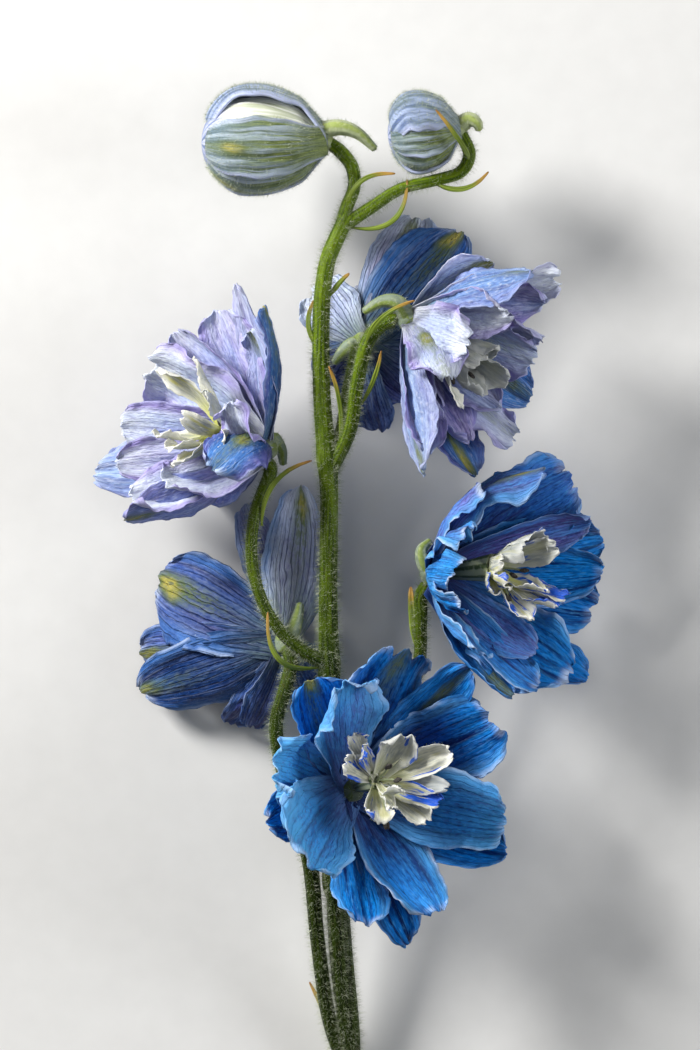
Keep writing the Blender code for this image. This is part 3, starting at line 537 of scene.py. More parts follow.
UPPER_BACK_BLOOM = Bloom(
    name="upper_back_bloom",
    hub=(362, 343, 16),
    axis=(0.25, 0.25, -0.93),
    petals=[
        Petal(
            tip=(461, 229, 9), width=17, cup=0.5, blunt=0.3, belly=0.55, spot=1.0, spot_at=0.92,
            dark=0.2, hair=0.5, margin=0.7,
        ),
        Petal(tip=(319, 288, 8), width=15, cup=0.4, blunt=0.6, ruffle=1.3, pale=1.0, lilac=0.2),
        Petal(tip=(318, 378, 7), width=13, cup=0.4, blunt=0.5, lilac=0.5, dark=0.4),
        Petal(tip=(378, 432, 6), width=10, cup=0.3, blunt=0.6, lilac=0.2, pale=0.1),
        Petal(tip=(470, 350, 3), width=15, cup=0.5, lilac=0.3),
        Petal(
            tip=(418, 213, 5), width=13, cup=0.3, blunt=0.6, notch=2.0, ruffle=1.4, lilac=0.8, pale=0.6,
            spot=0.5, spot_at=0.85,
        ),
        Petal(tip=(358, 280, 5), width=12, cup=0.3, blunt=0.6, pale=1.0, lilac=0.3),
        Petal(tip=(430, 400, 1), width=12, cup=0.3, lilac=0.5),
    ],
    spur=[(362, 343, 16), (351, 345, 17), (342, 352, 17), (334, 362, 16.5)],
    tube_end=(368, 336, 8.5),
    eye_petals=[
        eye_petal((400, 318, 4), 4.2),
        eye_petal((372, 300, 4), 4.2, streak=0.5),
        eye_petal((340, 320, 4), 4.2),
        eye_petal((350, 365, 4), 4.2, streak=0.5),
        eye_petal((394, 360, 4), 4.2),
    ],
    anthers=[(372, 334, 4)],
    finish="violet_blue_petal",
)
BLOOMS = [LOW_BLOOM, LEFT_BLOOM, BACK_BLOOM, RIGHT_BLOOM, UPPER_FRONT_BLOOM, UPPER_BACK_BLOOM]
print("petals and sepals in all:", sum(len(bloom.petals) for bloom in BLOOMS))

# %% [markdown]
# The stem carries eight flower stalks. On the plant they are round and finely ribbed, thicker
# where a stalk leaves, and the whole spike hangs on them, so their route comes first: stations
# of column, row, height and radius. A curve object with a bevel would do, but rings of our own
# let the radius swell and give each ring its ribs.

# %% Stations of the stem, the stalks and the bracts
MAIN_STEM = [
    (350, 1106, 2.3, 2.3), (349, 1040, 6.5, 2.4), (341, 960, 11, 2.6), (336, 880, 15, 2.4),
    (331, 780, 19, 2.2), (329, 670, 23, 2.35), (328, 600, 25, 2.05), (329, 500, 27, 2.0),
    (327, 458, 27.5, 2.2), (322, 400, 28, 1.95), (321, 320, 28.5, 1.9), (326, 268, 29, 1.8),
    (337, 238, 29, 1.8), (348, 216, 29, 1.6),
]
STALKS = {
    "left_bloom": [
        (328, 664, 23.5, 1.8), (303, 651, 26, 1.5), (280, 630, 27, 1.35), (262, 600, 27.5, 1.3),
        (252, 560, 28, 1.3), (255, 515, 28, 1.35), (270, 474, 24.8, 1.5),
    ],
    "back_bloom": [
        (345, 1075, 4.5, 1.5), (328, 1020, 8.5, 1.6), (317, 940, 14, 1.6), (309, 860, 18.5, 1.7),
        (288, 790, 22, 1.6), (276, 731, 25, 1.5), (285, 690, 26, 1.5), (291, 665, 25.2, 1.5),
    ],
    "low_bloom": [
        (346, 1050, 7, 1.4), (340, 980, 12, 1.5), (334, 900, 17.5, 1.5), (331, 850, 21, 1.5),
        (338, 812, 23.5, 1.5),
    ],
    "right_bloom": [
        (333, 800, 18.5, 1.7), (362, 770, 18.5, 1.5), (395, 730, 19, 1.4), (418, 670, 20, 1.4),
        (421, 620, 22, 1.4), (421, 597, 22.6, 1.5),
    ],
    "upper_front_bloom": [
        (331, 470, 27.5, 1.6), (350, 430, 30, 1.5), (357, 385, 32, 1.5), (366, 346, 33.5, 1.55),
        (380, 327, 34, 1.6), (392, 321, 34, 1.7),
    ],
    "upper_back_bloom": [
        (330, 470, 26.8, 1.5), (341, 430, 26, 1.3), (347, 395, 24, 1.3), (355, 354, 21.8, 1.3),
    ],
    "bud_left": [
        (340, 234, 29, 1.5), (346, 210, 29, 1.45), (354, 188, 29, 1.4), (352, 168, 29, 1.45),
        (341, 153, 29, 1.5),
    ],
    "bud_right": [
        (344, 226, 29, 1.5), (370, 209, 29, 1.4), (400, 190, 29, 1.3), (435, 181, 29, 1.3),
        (460, 173, 29, 1.35), (469, 155, 29, 1.4),
    ],
}
BRACTS = [
    Bract((345, 214, 29.5), (359, 184, 31), (395, 175, 31)),
    Bract((350, 228, 29), (385, 228, 29.5), (407, 181, 30)),
    Bract((432, 182, 29), (462, 190, 30), (488, 173, 30)),
    Bract((468, 160, 30), (457, 142, 39.2), (435, 114, 41)),
    Bract((320, 350, 28.5), (309, 328, 29), (315, 300, 28)),
    Bract((330, 296, 28.5), (338, 285, 29), (349, 274, 29)),
    Bract((338, 458, 28), (341, 412, 29), (329, 367, 31)),
    Bract((361, 405, 31), (376, 374, 33), (381, 352, 35), 1.4),
    Bract((365, 348, 34), (384, 317, 39.2), (414, 303, 41.5)),
    Bract((262, 526, 28.5), (279, 478, 30), (312, 461, 31)),
    Bract((320, 667, 24), (280, 660, 29.2), (268, 612, 29.8)),
    Bract((418, 650, 20.5), (413, 620, 21.5), (411, 587, 22), 2.4),
    Bract((338, 1062, 5.5), (325, 1022, 5.5), (309, 988, 5)),
    Bract((327, 900, 16), (324, 878, 17.5), (329, 857, 19), 1.2),
]
BUDS = [
    Bud(
        name="bud_left",
        foot=(327, 142, 29),
        nose=(206, 144, 29),
        girth=23.0,
        seat=1.6,
        sepals=(
            (98, 17, 0.0, 0.9, 2), (-9, 11.5, 0.8, 0.1, 2), (-78, 17, 0.7, 0.2, 0),
            (-140, 14, 0.4, 0.4, 1), (158, 14, 0.2, 0.8, 0),
        ),
        spur=[(318, 132, 30), (340, 129, 31), (358, 135, 31), (375, 150, 30)],
    ),
    Bud(
        name="bud_right",
        foot=(459, 130, 29),
        nose=(391, 138, 29),
        girth=16.5,
        seat=3.6,
        sepals=(
            (58, 15, 0.3, 1.0, 2), (-8, 8, 0.2, 0.1, 1), (-62, 11, 0.2, 0.0, 0),
            (-125, 11, 0.3, 0.4, 1), (165, 11, 0.2, 0.8, 0),
        ),
        spur=[(458, 128, 29), (468, 121, 29.5), (476, 124, 30), (479, 131, 29.5)],
    ),
]
print(len(STALKS), "stalks,", len(BRACTS), "bracts and", len(BUDS), "buds")

# %% [markdown]
# A blade is a grid of points: rows run from the root to the tip, columns from edge to edge. The
# middle line is a curve with one bend, the cup curls each row, and the ruffle lifts the edges in
# slow waves. The solids stop there. Real petals also have a crimped rim, soft lengthwise
# folds and a nibbled, rounded tip, and those are added here in the same formula, so the finer
# blade lies where the solid one does.

# %% The surface of a blade
INWARD_LEAN = 0.4
FLOOR_CLEARANCE = 0.06
CRIMP_SHARE = 0.34
CRIMP_PACE = 2 * math.pi * 6.3
FINE_CRIMP = ((0.6, 2 * math.pi * 11.7, 5),)
NIBBLES = ((0.05, 9, 2), (0.03, 23, 1), (0.012, 61, 2))
FOLD_HEIGHT = 0.55
FOLDS = ((1.0, 4.4, 1.3), (0.5, 9.1, 2.2))
FRILL_DEPTH = 0.24
FRILLS = ((1.0, 13, 1), (0.6, 29, 3))
TIP_CURLS = ((0.5, 8, 2),)
OTHER_SIDE = 2.1
OTHER_SIDE_CRIMP = 1.3
CORNER_ROUNDING = 0.24
SLANT = 0.09
TIP_BEND = 1.3
NARROW_SIDE = 0.12
RIB_HEIGHT = 0.06
RIBS_ACROSS = 6.5
WRINKLE_HEIGHT = 0.13
WRINKLES = 7
FULLER = 1.1
NECK_GAIN = 0.1
RUFFLE_GAIN = 1.8
LOBE_HALF_WIDTH = 0.33
NOTCH_HALF_WIDTH = 0.3


def half_width(petal, along):
    """Half the blade's width at a share of its length."""
    grown = np.clip(along / petal.belly, 0.0, 1.0)
    neck = petal.neck + NECK_GAIN
    spread = neck + (1 - neck) * np.sin(grown * math.pi / 2) ** 1.2
    past = np.clip((along - petal.belly) / (1 - petal.belly), 0.0, 1.0)
    closing = petal.blunt + (1 - petal.blunt) * np.sqrt(np.clip(1 - past**2.2, 0.0, 1.0))
    return 0.5 * FULLER * petal.width * spread * closing


def blade_middle(petal, root, axis, along):
    """The middle line of a blade, with the directions across it and out of it."""
    tip = place(*petal.tip)
    reach = tip - root
    outward = reach - axis * np.dot(reach, axis)
    if petal.facing is None:
        facing = unit(axis - INWARD_LEAN * unit(outward))
    else:
        facing = unit(petal.facing)
    across = unit(np.cross(reach, facing))
    facing = unit(np.cross(across, reach))
    middle = (root + tip) / 2 - facing * petal.bow + across * petal.sway
    bend = 2 * middle - (root + tip) / 2
    centre = (1 - along) ** 2 * root + 2 * along * (1 - along) * bend + along**2 * tip
    tangent = unit(2 * (1 - along) * (bend - root) + 2 * along * (tip - bend))
    side = unit(np.cross(tangent, facing))
    normal = np.cross(side, tangent)
    return centre, tangent, side, normal


def wrinkles(across_mm, along_mm, phase):
    """Small irregular wrinkles, longer along the blade than across it."""
    draw = np.random.default_rng(int(1000 * phase) + 7)
    total = 0.0
    for _ in range(WRINKLES):
        wave_across = 2 * math.pi / draw.uniform(1.3, 3.4)
        wave_along = 2 * math.pi / draw.uniform(3.0, 9.0) * draw.choice((-1.0, 1.0))
        total = total + np.sin(wave_across * across_mm + wave_along * along_mm + draw.uniform(0, 7))
    return total / math.sqrt(WRINKLES)


def grid_normals(grid):
    """The way that each point of a grid faces."""
    return unit(np.cross(np.gradient(grid, axis=1), np.gradient(grid, axis=0)))


def waves_over(share, phase, waves):
    """A sum of waves, each with its height, its pace and how far the phase shifts it."""
    return sum(height * np.sin(pace * share + shift * phase) for height, pace, shift in waves)


def ruffled(petal, along, across, phase):
    """How far ruffles, crimps, folds, ribs and curls lift a blade off its cupped form."""
    edge = np.abs(across)
    other_side = across < 0
    wave = np.sin(2 * math.pi * petal.waves * along + phase + OTHER_SIDE * other_side)
    rise = RUFFLE_GAIN * petal.ruffle * across**2 * along * wave
    crimp = np.sin(CRIMP_PACE * along + 3 * phase + OTHER_SIDE_CRIMP * other_side)
    crimp = crimp + waves_over(along, phase, FINE_CRIMP)
    rise = rise + CRIMP_SHARE * petal.ruffle * edge**4 * along * crimp
    fold = waves_over(across, phase, FOLDS) * min(1.0, petal.width / 12)
    rise = rise + FOLD_HEIGHT * fold * np.sin(math.pi * along)
    rise = rise + RIB_HEIGHT * np.cos(2 * math.pi * RIBS_ACROSS * across) * (1 - 0.6 * along)
    rise = rise + petal.curl * edge**3 * along**2
    rise = rise + TIP_BEND * min(1.0, petal.width / 14) * math.sin(1.9 * phase) * along**5
    return rise + petal.ruffle * waves_over(across, phase, TIP_CURLS) * along**7


def pulled_back(petal, along, across, phase):
    """How far a notch, round corners, a slant, lobes and a frill take the tip back."""
    edge = np.abs(across)
    whole = 1 / (1 + petal.lobes)
    pulled = petal.notch * np.exp(-((across / NOTCH_HALF_WIDTH) ** 2)) * along**6
    pulled = pulled + CORNER_ROUNDING * petal.width * petal.blunt * whole * edge**3 * along**4
    slant = SLANT * petal.width * math.sin(3.1 * phase + 0.6) * whole
    pulled = pulled + slant * across * along**4
    from_lobe = np.mod(edge + LOBE_HALF_WIDTH, 2 * LOBE_HALF_WIDTH) - LOBE_HALF_WIDTH
    pulled = pulled + petal.lobes * (from_lobe / LOBE_HALF_WIDTH) ** 6 * along**5
    return pulled + FRILL_DEPTH * petal.ruffle * waves_over(across, phase, FRILLS) * along**9


def blade_surface(petal, root, axis, phase, rows, columns):
    """A fine grid of points on a blade's middle surface, with its normals and its shares."""
    share = np.linspace(0.0, 1.0, rows)
    along = (0.5 * share + 0.5 * np.sin(share * math.pi / 2))[:, None, None]
    spread = np.linspace(-1.0, 1.0, columns)
    across = (0.6 * spread + 0.4 * np.sin(spread * math.pi / 2))[None, :, None]
    centre, tangent, side, normal = blade_middle(petal, root, axis, along)
    nibble = waves_over(along, phase, NIBBLES) * along * np.abs(across) ** 3
    half = half_width(petal, along) * (1 + nibble)
    lean = petal.lean + NARROW_SIDE * math.sin(2.3 * phase + 1.0)
    flat = half * (1 + lean * across) * np.sin(petal.cup * across) / petal.cup
    rise = half * (1 - np.cos(petal.cup * across)) / petal.cup
    rise = rise + ruffled(petal, along, across, phase)
    size = float(np.linalg.norm(place(*petal.tip) - root))
    small = wrinkles(flat, size * along, phase) * np.minimum(1.0, 3 * along)
    rise = rise + WRINKLE_HEIGHT * min(1.0, petal.width / 9) * small
    pulled = pulled_back(petal, along, across, phase)
    grid = centre + side * flat + normal * rise - tangent * pulled
    grid[..., 2] = np.maximum(grid[..., 2], FLOOR_CLEARANCE + petal.thickness / 2)
    shape = grid.shape[:2]
    shares = (np.broadcast_to(share[..., 0], shape) for share in (along, across))
    return grid, grid_normals(grid), *shares


trial = blade_surface(LOW_BLOOM.petals[0], place(*LOW_BLOOM.hub), unit(LOW_BLOOM.axis), 0.0, 12, 9)
print("a trial blade spans", np.ptp(trial[0].reshape(-1, 3), axis=0).round(1), "mm")

# %% [markdown]
# Many small shapes become one mesh. A small collector keeps their points and faces, and for
# every point the values that the finishes need: where it is along and across its blade, how
# the blade is coloured, and how much down grows there. Such values are stored as attributes on
# the mesh, so a pattern follows the surface wherever it bends.

# %% A collector for points, faces and values
# The dark part of the tint is painted shade, read by every finish that darkens with it.
TINT_PARTS = ("pale", "lilac", "dark")
MARK_PARTS = ("spot", "margin", "seed")
SIDE_PARTS = ("outer", "streak", "spot place")
SEED_STEP = 0.37


class Gathered:
    """Points, faces and values of many shapes that become one mesh."""

    def __init__(self):
        self.points = []
        self.faces = []
        self.values = {"petal_uv": [], "tint": [], "marks": [], "sides": [], "downy": [], "grain": []}
        self.count = 0

    def add(self, points, faces, **values):
        """Takes in one closed shape. Values that aren't given are zero."""
        points = np.asarray(points, dtype=float).reshape(-1, 3)
        self.points.append(points)
        self.faces += [tuple(int(corner) + self.count for corner in face) for face in faces]
        for name, kept in self.values.items():
            width = {"petal_uv": 2, "downy": 1}.get(name, 3)
            value = np.asarray(values.get(name, np.zeros(width)), dtype=float)
            kept.append(np.broadcast_to(value.reshape(-1, width), (len(points), width)))
        self.count += len(points)

    def add_sheet(self, grid, offset, along, across, **values):
        """Takes in a grid that is thickened by an offset to each side, with its shares as UV."""
        both = np.vstack(((grid + offset).reshape(-1, 3), (grid - offset).reshape(-1, 3)))
        uv = np.stack((across.ravel() * 0.5 + 0.5, along.ravel()), axis=1)
        self.add(both, sheet_faces(*grid.shape[:2]), petal_uv=np.tile(uv, (2, 1)), **values)

    def finished(self, name, finish):
        """The mesh object in metres, at the origin, smooth, with its values as attributes."""
        mesh = bpy.data.meshes.new(name)
        mesh.from_pydata(np.vstack(self.points) * METRES_PER_MM, [], self.faces)
        for value_name in ("tint", "marks", "sides", "grain"):
            attribute = mesh.attributes.new(value_name, "FLOAT_VECTOR", "POINT")
            attribute.data.foreach_set("vector", np.vstack(self.values[value_name]).ravel())
        downy = mesh.attributes.new("downy", "FLOAT", "POINT")
        downy.data.foreach_set("value", np.vstack(self.values["downy"]).ravel())
        corner_points = np.empty(len(mesh.loops), dtype=np.int32)
        mesh.loops.foreach_get("vertex_index", corner_points)
        layer = mesh.uv_layers.new(name="petal_uv")
        layer.data.foreach_set("uv", np.vstack(self.values["petal_uv"])[corner_points].ravel())
        mesh.shade_smooth()
        mesh.materials.append(finish)
        made = bpy.data.objects.new(name, mesh)
        bpy.context.scene.collection.objects.link(made)
        return made


def sheet_faces(rows, wide):
    """Faces that close two like grids into one sheet, looked at from outside."""
    total = rows * wide
    first = (np.arange(rows - 1)[:, None] * wide + np.arange(wide - 1)).ravel()
    top = np.stack((first, first + 1, first + wide + 1, first + wide), axis=1)
    faces = np.vstack((top, total + top[:, ::-1])).tolist()
    rim = list(range(wide))
    rim += [row * wide + wide - 1 for row in range(1, rows)]
    rim += [total - 1 - column for column in range(1, wide)]
    rim += [row * wide for row in range(rows - 2, 0, -1)]
    for start, end in zip(rim, rim[1:] + rim[:1]):
        faces.append((start, total + start, total + end, end))
    return faces


def add_blade(gathered, petal, root, axis, phase, rows, columns):
    """One closed blade with the values that its finish reads."""
    grid, normals, along, across = blade_surface(petal, root, axis, phase, rows, columns)
    thickness = petal.thickness * (1 - 0.55 * np.abs(across) ** 3) * (1 - 0.35 * along)
    outer = np.repeat((0.0, 1.0), grid.shape[0] * grid.shape[1])
    both_along = np.tile(along.ravel(), 2)
    both_across = np.tile(across.ravel(), 2)
    down = petal.hair * (0.25 + 0.75 * outer) * (1 - 0.5 * both_along) * (1 - 0.3 * both_across**2)
    same = np.ones_like(outer)
    gathered.add_sheet(
        grid,
        normals * thickness[..., None] / 2,
        along,
        across,
        tint=(petal.pale, petal.lilac, petal.dark),
        marks=(petal.spot, petal.margin, (phase * SEED_STEP) % 1.0),
        sides=np.stack((outer, petal.streak * same, petal.spot_at * same), axis=1),
        downy=down,
    )


print("a collector with the values", ", ".join(TINT_PARTS + MARK_PARTS + SIDE_PARTS))

# %% [markdown]
# Stems, stalks, spurs and threads are tubes along a smooth path. A real stem is ribbed, so the
# tube takes a number of ribs. Its grain values are the cosine and sine of the angle and the
# length in mm, which meet without a seam all the way round.

# %% Tubes and rounded lumps
STEPS_BETWEEN_STATIONS = 9


def smooth_path(points, steps=STEPS_BETWEEN_STATIONS):
    """Points along a Catmull-Rom curve that passes through every given point."""
    points = [np.asarray(point, dtype=float) for point in points]
    padded = [2 * points[0] - points[1], *points, 2 * points[-1] - points[-2]]
    share = np.linspace(0.0, 1.0, steps, endpoint=False)[:, None]
    pieces = []
    for before, start, end, after in zip(padded, padded[1:], padded[2:], padded[3:]):
        straight = 2 * start + (end - before) * share
        bent = (2 * before - 5 * start + 4 * end - after) * share**2
        eased_in = (3 * start - before - 3 * end + after) * share**3
        pieces.append(0.5 * (straight + bent + eased_in))
    pieces.append(points[-1][None, :])
    return np.vstack(pieces)


def stations(spots):
    """Places in mm with their radii, from spots of column, row, height and radius."""
    return [(*place(*spot[:3]), spot[3]) for spot in spots]


def smooth_stations(spots):
    """A smooth path through stations, and its radii."""
    path = smooth_path(spots)
    return path[:, :3], path[:, 3]


def ring_faces(rings, sides):
    """The faces between rings of points, looked at from outside."""
    first = np.arange((rings - 1) * sides).reshape(-1, sides)
    after = np.roll(first, -1, axis=1)
    corners = (first, after, after + sides, first + sides)
    return np.stack(corners, axis=2).reshape(-1, 4).tolist()


def egg_faces(rings, sides):
    """The same, closed with fans to a foot and a top, which are the last two points."""
    faces = ring_faces(rings, sides)
    foot, last = rings * sides, (rings - 1) * sides
    for corner in range(sides):
        following = (corner + 1) % sides
        faces.append((foot, following, corner))
        faces.append((foot + 1, last + corner, last + following))
    return faces


def tube(path, radii, sides, ribs=0, rib_depth=0.0, end_dome=0.5):
    """Rings along a path, closed at both ends. Returns points, faces and grain values."""
    tangents = unit(np.gradient(path, axis=0))
    lengths = np.concatenate(((0.0,), np.cumsum(np.linalg.norm(np.diff(path, axis=0), axis=1))))
    side = unit(np.cross(tangents[0], (0.0, 0.05, 1.0)))
    angles = np.linspace(0.0, 2 * math.pi, sides, endpoint=False)[:, None]
    ribbed = 1 + rib_depth * np.cos(ribs * angles)
    points, grain = [], []
    for centre, tangent, radius, length in zip(path, tangents, radii, lengths):
        side = unit(side - tangent * np.dot(side, tangent))
        other = np.cross(tangent, side)
        points.append(centre + radius * ribbed * (np.cos(angles) * side + np.sin(angles) * other))
        level = np.full_like(angles, length)
        grain.append(np.hstack((np.cos(angles), np.sin(angles), level)))
    faces = ring_faces(len(path), sides)
    points = np.vstack(points)
    grain = np.vstack(grain)
    foot_cap = path[0] - tangents[0] * radii[0] * 0.5
    end_cap = path[-1] + tangents[-1] * radii[-1] * end_dome
    for ring, cap in ((0, foot_cap), (len(path) - 1, end_cap)):
        index = len(points)
        points = np.vstack((points, cap))
        grain = np.vstack((grain, grain[ring * sides] * (0, 0, 1)))
        for corner in range(sides):
            here, there = ring * sides + corner, ring * sides + (corner + 1) % sides
            faces.append((index, there, here) if ring == 0 else (index, here, there))
    return points, faces, grain


def lump(centre, axis, half_length, radius, sides, rings, lobes=0, lobe_depth=0.0):
    """A closed egg along an axis, with lobes if wanted. Returns points and faces."""
    along = unit(axis)
    side = unit(np.cross(along, (0.3, 0.2, 0.9)))
    other = np.cross(along, side)
    polar = np.linspace(0.0, math.pi, rings + 1)[1:-1, None, None]
    angles = np.linspace(0.0, 2 * math.pi, sides, endpoint=False)[None, :, None]
    out = np.cos(angles) * side + np.sin(angles) * other
    lobed = 1 + lobe_depth * np.cos(lobes * angles) * np.sin(polar)
    body = centre - along * half_length * np.cos(polar) + radius * np.sin(polar) * lobed * out
    ends = (centre - along * half_length, centre + along * half_length)
    return np.vstack((body.reshape(-1, 3), *ends)), egg_faces(rings - 1, sides)


trial_path = smooth_stations(stations(MAIN_STEM))[0]
steps_of_stem = np.linalg.norm(np.diff(trial_path, axis=0), axis=1)
print("the main stem is", round(float(steps_of_stem.sum())), "mm long")

# %% [markdown]
# The finishes are built from nodes. A wire is what leaves a node, and a sum of wires adds the
# nodes that work it out, so a finish reads like a formula. Short helpers add the steps that come
# back in all of them: an eased step, a noise along given coordinates, a blend of two colours.

# %% Helpers for nodes
class Wire:
    """What leaves a node of a tree. A sum with a wire adds the node for it."""

    def __init__(self, tree, socket):
        self.tree = tree
        self.socket = socket

    def __add__(self, other):
        return maths("ADD", self, other)

    def __sub__(self, other):
        return maths("SUBTRACT", self, other)

    def __rsub__(self, other):
        return maths("SUBTRACT", other, self)

    def __mul__(self, other):
        return maths("MULTIPLY", self, other)

    def eased(self, start, end, low=0.0, high=1.0):
        """A soft step from low at start to high at end."""
        inputs = {0: self, 1: start, 2: end, 3: low, 4: high}
        return wire(self.tree, "ShaderNodeMapRange", inputs, interpolation_type="SMOOTHSTEP")

    def split(self):
        """The three numbers of a vector."""
        outputs = node(self.tree, "ShaderNodeSeparateXYZ", {0: self}).outputs
        return [Wire(self.tree, socket) for socket in outputs]

    def into(self, socket):
        """Leads the wire into a socket."""
        self.tree.links.new(self.socket, socket)


def node(tree, kind, inputs=None, **settings):
    """A node with its settings and inputs. An input is a value or a wire."""
    made = tree.nodes.new(kind)
    for setting, value in settings.items():
        setattr(made, setting, value)
    for socket, value in (inputs or {}).items():
        if isinstance(value, Wire):
            value.into(made.inputs[socket])
        else:
            made.inputs[socket].default_value = value
    return made


def wire(tree, kind, inputs=None, output=0, **settings):
    """The wire that leaves a new node."""
    return Wire(tree, node(tree, kind, inputs, **settings).outputs[output])


def tree_of(values):
    """The tree of the first wire among the values."""
    return next(value.tree for value in values if isinstance(value, Wire))


def maths(operation, *values):
    """The result of one sum of wires and numbers."""
    return wire(tree_of(values), "ShaderNodeMath", dict(enumerate(values)), operation=operation)


def at(*values):
    """Three numbers as one place in a pattern."""
    return wire(tree_of(values), "ShaderNodeCombineXYZ", dict(enumerate(values)))


def blended(share, first, second, blend_type="MIX"):
    """The second colour over the first, by a share."""
    inputs = {0: share, 6: first, 7: second}
    return wire(share.tree, "ShaderNodeMix", inputs, 2, data_type="RGBA", blend_type=blend_type)


def noise(where, scale=1.0, detail=2.0):
    """Cloudy noise from 0 to 1."""
    inputs = {"Vector": where, "Scale": scale, "Detail": detail, "Roughness": 0.5}
    return wire(where.tree, "ShaderNodeTexNoise", inputs)


def pattern(blade, over_width, over_length, detail=3.0):
    """Noise with so many features over a blade's half width and over its length."""
    across, along, depth = blade
    return noise(at(across * over_width, along * over_length, depth), 1.0, detail)


def rgb(red, green, blue):
    """A colour for a socket, from linear red, green and blue."""
    return (red, green, blue, 1.0)


print("node helpers ready")

# %% [markdown]
# A delphinium petal is thin and its colour is never even. Veins fan out from the root, the
# blue gathers in streaks between them, and the rim is paler or more violet than the middle.
# Fine ridges get painted highlights on their crests and painted shade in their furrows, and
# more painted shade darkens patches, the roots deep inside the bloom and each blade by its dark
# value. The tip of a sepal carries a yellow-green spot with brown flecks. The outside is greyer,
# with green at the root. All six blooms share this, so it is one node group that reads the values
# of the mesh, and each finish gives it its own blues.

# %% The petal tissue group
VEINS_EACH_SIDE = 7.0
SEED_SPREAD = {"petal": 23.0, "eye": 31.0, "bract": 17.0, "bud": 13.0}
RESULTS = {"Colour": "NodeSocketColor", "Roughness": "NodeSocketFloat", "Height": "NodeSocketFloat"}
BLADE_INPUTS = (
    "Across", "Along", "Pale", "Lilac", "Dark", "Spot", "Spot Place", "Margin", "Seed", "Outer",
)
SHADE_INPUTS = ("Deep", "Bright", "Pale Colour", "Lilac Colour", "Throat", "Rim Colour")
GREY_BLUE = rgb(0.22, 0.30, 0.46)
ROOT_GREEN = rgb(0.13, 0.20, 0.14)
OLIVE = rgb(0.11, 0.15, 0.03)
SPOT_YELLOW = rgb(0.42, 0.37, 0.09)
FLECK_BROWN = rgb(0.05, 0.035, 0.015)
# The shadow blue that painted shade darkens towards.
SHADOW_TINT = rgb(0.08, 0.12, 0.25)
FROSTED_RIM = rgb(0.62, 0.72, 0.93)


def add_sockets(tree, sockets, way="INPUT"):
    """Named inputs or outputs of a tree, in order."""
    for label, kind in sockets.items():
        tree.interface.new_socket(label, in_out=way, socket_type=kind)


def given_wires(tree):
    """The wires that come into a tree, by name."""
    outputs = node(tree, "NodeGroupInput").outputs
    return {socket.name: Wire(tree, socket) for socket in outputs}


def shaded(share, colour):
    """Painted shade: the colour darkened towards a shadow blue, by a share."""
    return blended(share, colour, SHADOW_TINT, "MULTIPLY")


def spot_marks(colour, across, past, spot, grain, blotch):
    """The yellow-green spot with its olive ring, keel and brown flecks."""
    side = maths("ABSOLUTE", across)
    keel = spot * side.eased(0.4, 0.05) * past.eased(-0.75, -0.05) * 0.85
    colour = blended(keel * grain.eased(0.35, 0.6, 0.25, 1.0), colour, OLIVE)
    wide, long_way = across * 2.6, past * 5.2
    far = maths("SQRT", wide * wide + long_way * long_way) + blotch * 1.7 + grain * 0.7
    ring = spot.eased(0.0, 0.75) * far.eased(2.3, 1.4) * grain.eased(0.3, 0.6, 0.5, 1.0)
    colour = blended(ring, colour, OLIVE)
    middle = spot.eased(0.35, 1.0) * far.eased(1.85, 1.3) * grain.eased(0.3, 0.55, 0.25, 1.0)
    colour = blended(middle, colour, SPOT_YELLOW)
    fleck_and_glint = spot * far.eased(1.5, 1.3) * grain.eased(0.56, 0.64)
    return blended(fleck_and_glint, colour, FLECK_BROWN)


